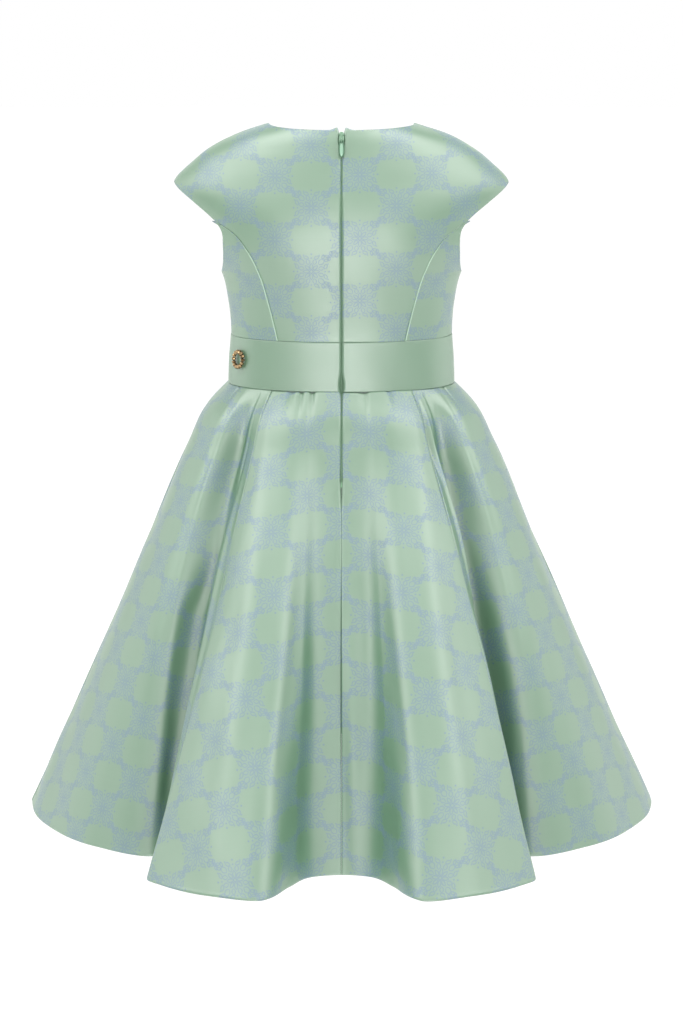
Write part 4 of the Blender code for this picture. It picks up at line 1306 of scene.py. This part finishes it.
def woven(tree, cloth, weave, figure=None):
    """The weave's height and slubs on a cloth."""
    node = tree.nodes.new("ShaderNodeGroup")
    node.node_tree = weave
    tree.links.new(cloth, node.inputs["Cloth"])
    node.inputs["Threads"].default_value = THREADS_A_METRE
    if figure is not None:
        tree.links.new(figure, node.inputs["Figure"])
    return node.outputs["Height"], node.outputs["Slub"]


def jacquard_material(name, grounds, patch, figure_colour, figure, weave):
    material, tree, shader = new_material(name, grounds[0], 0.40)
    cloth = cloth_coordinates(tree)
    drawn = tree.nodes.new("ShaderNodeGroup")
    drawn.node_tree = figure
    tree.links.new(cloth, drawn.inputs["Cloth"])
    height, slub = woven(tree, cloth, weave, drawn.outputs["Figure"])
    colour = mix(tree, slub, *grounds)
    colour = mix(tree, drawn.outputs["Patch"], colour, patch)
    colour = mix(tree, drawn.outputs["Figure"], colour, figure_colour)
    tree.links.new(colour, shader.inputs["Base Color"])
    rough = ranged(tree, drawn.outputs["Figure"], *FIGURE_ROUGHNESS)
    tree.links.new(rough, shader.inputs["Roughness"])
    bump(tree, shader, height, *WEAVE_BUMP)
    satin_gloss(tree, shader, ranged(tree, drawn.outputs["Figure"], *FIGURE_GLOSS))
    return material


def satin_material(name, low, high, weave):
    material, tree, shader = new_material(name, high, 0.44)
    cloth = cloth_coordinates(tree)
    height, slub = woven(tree, cloth, weave)
    tree.links.new(mix(tree, slub, low, high), shader.inputs["Base Color"])
    tree.links.new(ranged(tree, slub, *SATIN_ROUGHNESS), shader.inputs["Roughness"])
    bump(tree, shader, height, *WEAVE_BUMP)
    satin_gloss(tree, shader)
    return material


def tape_material():
    material, tree, shader = new_material("zip_tape_weave", linear(104, 140, 110), 0.65)
    cloth = cloth_coordinates(tree)
    ripple = tree.nodes.new("ShaderNodeTexWave")
    ripple.bands_direction = "Y"
    ripple.inputs["Scale"].default_value = TAPE_RIPPLES
    ripple.inputs["Distortion"].default_value = 1.5
    tree.links.new(cloth, ripple.inputs[0])
    colour = mix(tree, ripple.outputs["Fac"], linear(98, 134, 104), linear(110, 146, 116))
    tree.links.new(colour, shader.inputs["Base Color"])
    bump(tree, shader, ripple.outputs["Fac"], *TAPE_BUMP)
    return material


def object_noise(tree, scale):
    """A fine mottle on object coordinates."""
    place = tree.nodes.new("ShaderNodeTexCoord")
    noise = tree.nodes.new("ShaderNodeTexNoise")
    noise.inputs["Scale"].default_value = scale
    tree.links.new(place.outputs["Object"], noise.inputs["Vector"])
    return noise.outputs[0]


# Display colour, darker colour, roughness, metallic and scale of the mottle
HARD_MATERIALS = {
    "zip_coil_nylon": ((108, 138, 112), (88, 118, 94), 0.45, 0.0, 900),
    "green_enamel_coat": ((126, 160, 138), (118, 152, 129), 0.32, 0.1, 700),
    # darker green of the pull's rim and of the slider's grooves: painted shade
    "green_enamel_painted_shade": ((74, 108, 84), (62, 94, 72), 0.35, 0.1, 700),
    "green_enamel_slider": ((108, 139, 115), (98, 129, 105), 0.34, 0.1, 700),
    # the gold's mottle runs from pale to near-black: random tone, and partly painted reflection of
    # the facets' bright and dark spots
    "gold_bead_mottle_and_painted_reflections": ((180, 154, 116), (66, 50, 32), 0.22, 1.0, 420),
}


def hard_material(name, colour, darker, roughness, metallic, scale):
    colour, darker = linear(*colour), linear(*darker)
    material, tree, shader = new_material(name, colour, roughness, metallic)
    mottle = object_noise(tree, scale)
    tree.links.new(mix(tree, mottle, darker, colour), shader.inputs["Base Color"])
    low, high = (roughness + more for more in MOTTLE_ROUGHNESS)
    tree.links.new(ranged(tree, mottle, low, high), shader.inputs["Roughness"])
    return material


def add_light(name, place, aim, width, height, radiance):
    light = bpy.data.lights.new(name, "AREA")
    light.shape = "RECTANGLE"
    light.size = width
    light.size_y = height
    light.energy = radiance * math.pi * width * height
    lamp = placed(name, light)
    lamp.location = place
    lamp.rotation_euler = (Vector(aim) - Vector(place)).to_track_quat("-Z", "Y").to_euler()
    lamp.visible_camera = False


AMBIENT = 0.55
FLOOR = -0.93
FLOOR_REACH = 14.0
FLOOR_GLOW = 0.90
DRESS_MIDDLE = (0.0, 0.0, -0.35)
# Each lamp's name, place, aim, width, height and radiance
LAMPS = (
    ("high_left", (-1.71, -0.69, 2.01), DRESS_MIDDLE, 3.0, 3.0, 2.8),
    ("high_right", (1.71, -0.69, 2.01), DRESS_MIDDLE, 3.0, 3.0, 2.8),
    ("top", (0.0, 0.31, 2.63), DRESS_MIDDLE, 3.0, 2.4, 1.6),
    ("light_table", (0.0, -2.3, -0.92), (0.0, -2.2, 0.0), 1.9, 3.2, 6.5),
    ("front_wall", (0.0, -4.5, 0.3), (0.0, 0.0, -0.15), 3.8, 2.7, 2.4),
    ("wall_left", (-2.95, 1.19, 0.0), DRESS_MIDDLE, 3.4, 3.0, 1.1),
    ("wall_right", (2.95, 1.19, 0.0), DRESS_MIDDLE, 3.4, 3.0, 1.1),
    ("wall_behind", (0.0, 3.13, 0.32), DRESS_MIDDLE, 4.0, 3.0, 1.1),
)


def camera_sees(tree, seen, unseen):
    """One shader for the camera and another for everything else."""
    path = tree.nodes.new("ShaderNodeLightPath")
    choice = tree.nodes.new("ShaderNodeMixShader")
    tree.links.new(path.outputs["Is Camera Ray"], choice.inputs[0])
    tree.links.new(unseen, choice.inputs[1])
    tree.links.new(seen, choice.inputs[2])
    return choice.outputs[0]


def glow(tree, kind, strength):
    node = tree.nodes.new(kind)
    node.inputs["Color"].default_value = (1, 1, 1, 1)
    node.inputs["Strength"].default_value = strength
    return node.outputs[0]


def add_studio():
    """A pale floor at the level of the wearer's feet, a white surround, and soft light from
    high on both sides, from a light table in front and from white walls behind."""
    scene = bpy.context.scene
    scene.view_settings.view_transform = "Standard"
    world = bpy.data.worlds.new("studio")
    world.use_nodes = True
    tree = world.node_tree
    dim = tree.nodes["Background"]
    dim.inputs["Color"].default_value = (1, 1, 1, 1)
    dim.inputs["Strength"].default_value = AMBIENT
    surround = camera_sees(tree, glow(tree, "ShaderNodeBackground", 1.0), dim.outputs[0])
    tree.links.new(surround, tree.nodes["World Output"].inputs["Surface"])
    scene.world = world
    corners = ((-1, -1), (1, -1), (1, 1), (-1, 1))
    places = [(x * FLOOR_REACH, y * FLOOR_REACH, FLOOR) for x, y in corners]
    floor_mesh = bpy.data.meshes.new("floor")
    floor_mesh.from_pydata(places, [], [(0, 1, 2, 3)])
    floor = placed("floor", floor_mesh)
    paint, tree, shader = new_material("floor_paint", (0.9, 0.9, 0.9, 1), 0.9)
    lit = tree.nodes.new("ShaderNodeMixShader")
    lit.inputs[0].default_value = FLOOR_GLOW
    tree.links.new(shader.outputs[0], lit.inputs[1])
    tree.links.new(glow(tree, "ShaderNodeEmission", 1.1), lit.inputs[2])
    shown = camera_sees(tree, lit.outputs[0], shader.outputs[0])
    tree.links.new(shown, tree.nodes["Material Output"].inputs["Surface"])
    floor_mesh.materials.append(paint)
    for lamp in LAMPS:
        add_light(*lamp)


def add_camera():
    camera = bpy.data.cameras.new("camera")
    camera.sensor_fit = "VERTICAL"
    camera.sensor_height = SENSOR
    camera.lens = FOCAL_PIXELS / PHOTO_HEIGHT * SENSOR
    eye = placed("camera", camera)
    eye.location = CAMERA_PLACE
    eye.rotation_euler = (math.pi / 2 - CAMERA_DOWN, 0, 0)
    bpy.context.scene.camera = eye


def main():
    figure = jacquard_group()
    weave = weave_group()
    face, reverse = (
        jacquard_material("satin_jacquard_" + name, *colours, figure, weave)
        for name, colours in (
            ("face", ((GROUND_DEEP, GROUND), PATCH, FIGURE)),
            ("reverse", ((PATCH, PATCH), GROUND, GROUND_DEEP)),
        )
    )
    satin = satin_material("plain_satin_cloth", SATIN_DEEP, SATIN, weave)
    # the seam cord is painted pale, a painted highlight along the curved seams
    cord = satin_material("seam_cord_painted_highlight", PIPING_PAINTED_HIGHLIGHT, PIPING_PAINTED_HIGHLIGHT, weave)
    tape = tape_material()
    coil, enamel, painted_shade_enamel, slider_enamel, gold_and_painted_reflections = (
        hard_material(name, *values) for name, values in HARD_MATERIALS.items()
    )
    add_centre_panels([face, reverse])
    add_side_panels([face, reverse])
    add_piping(cord)
    add_waistband([satin, satin])
    add_skirt([face, reverse])
    add_zip(tape, coil)
    add_slider(slider_enamel, painted_shade_enamel)
    add_pull(enamel, painted_shade_enamel)
    add_beads(gold_and_painted_reflections)
    add_studio()
    add_camera()


main()
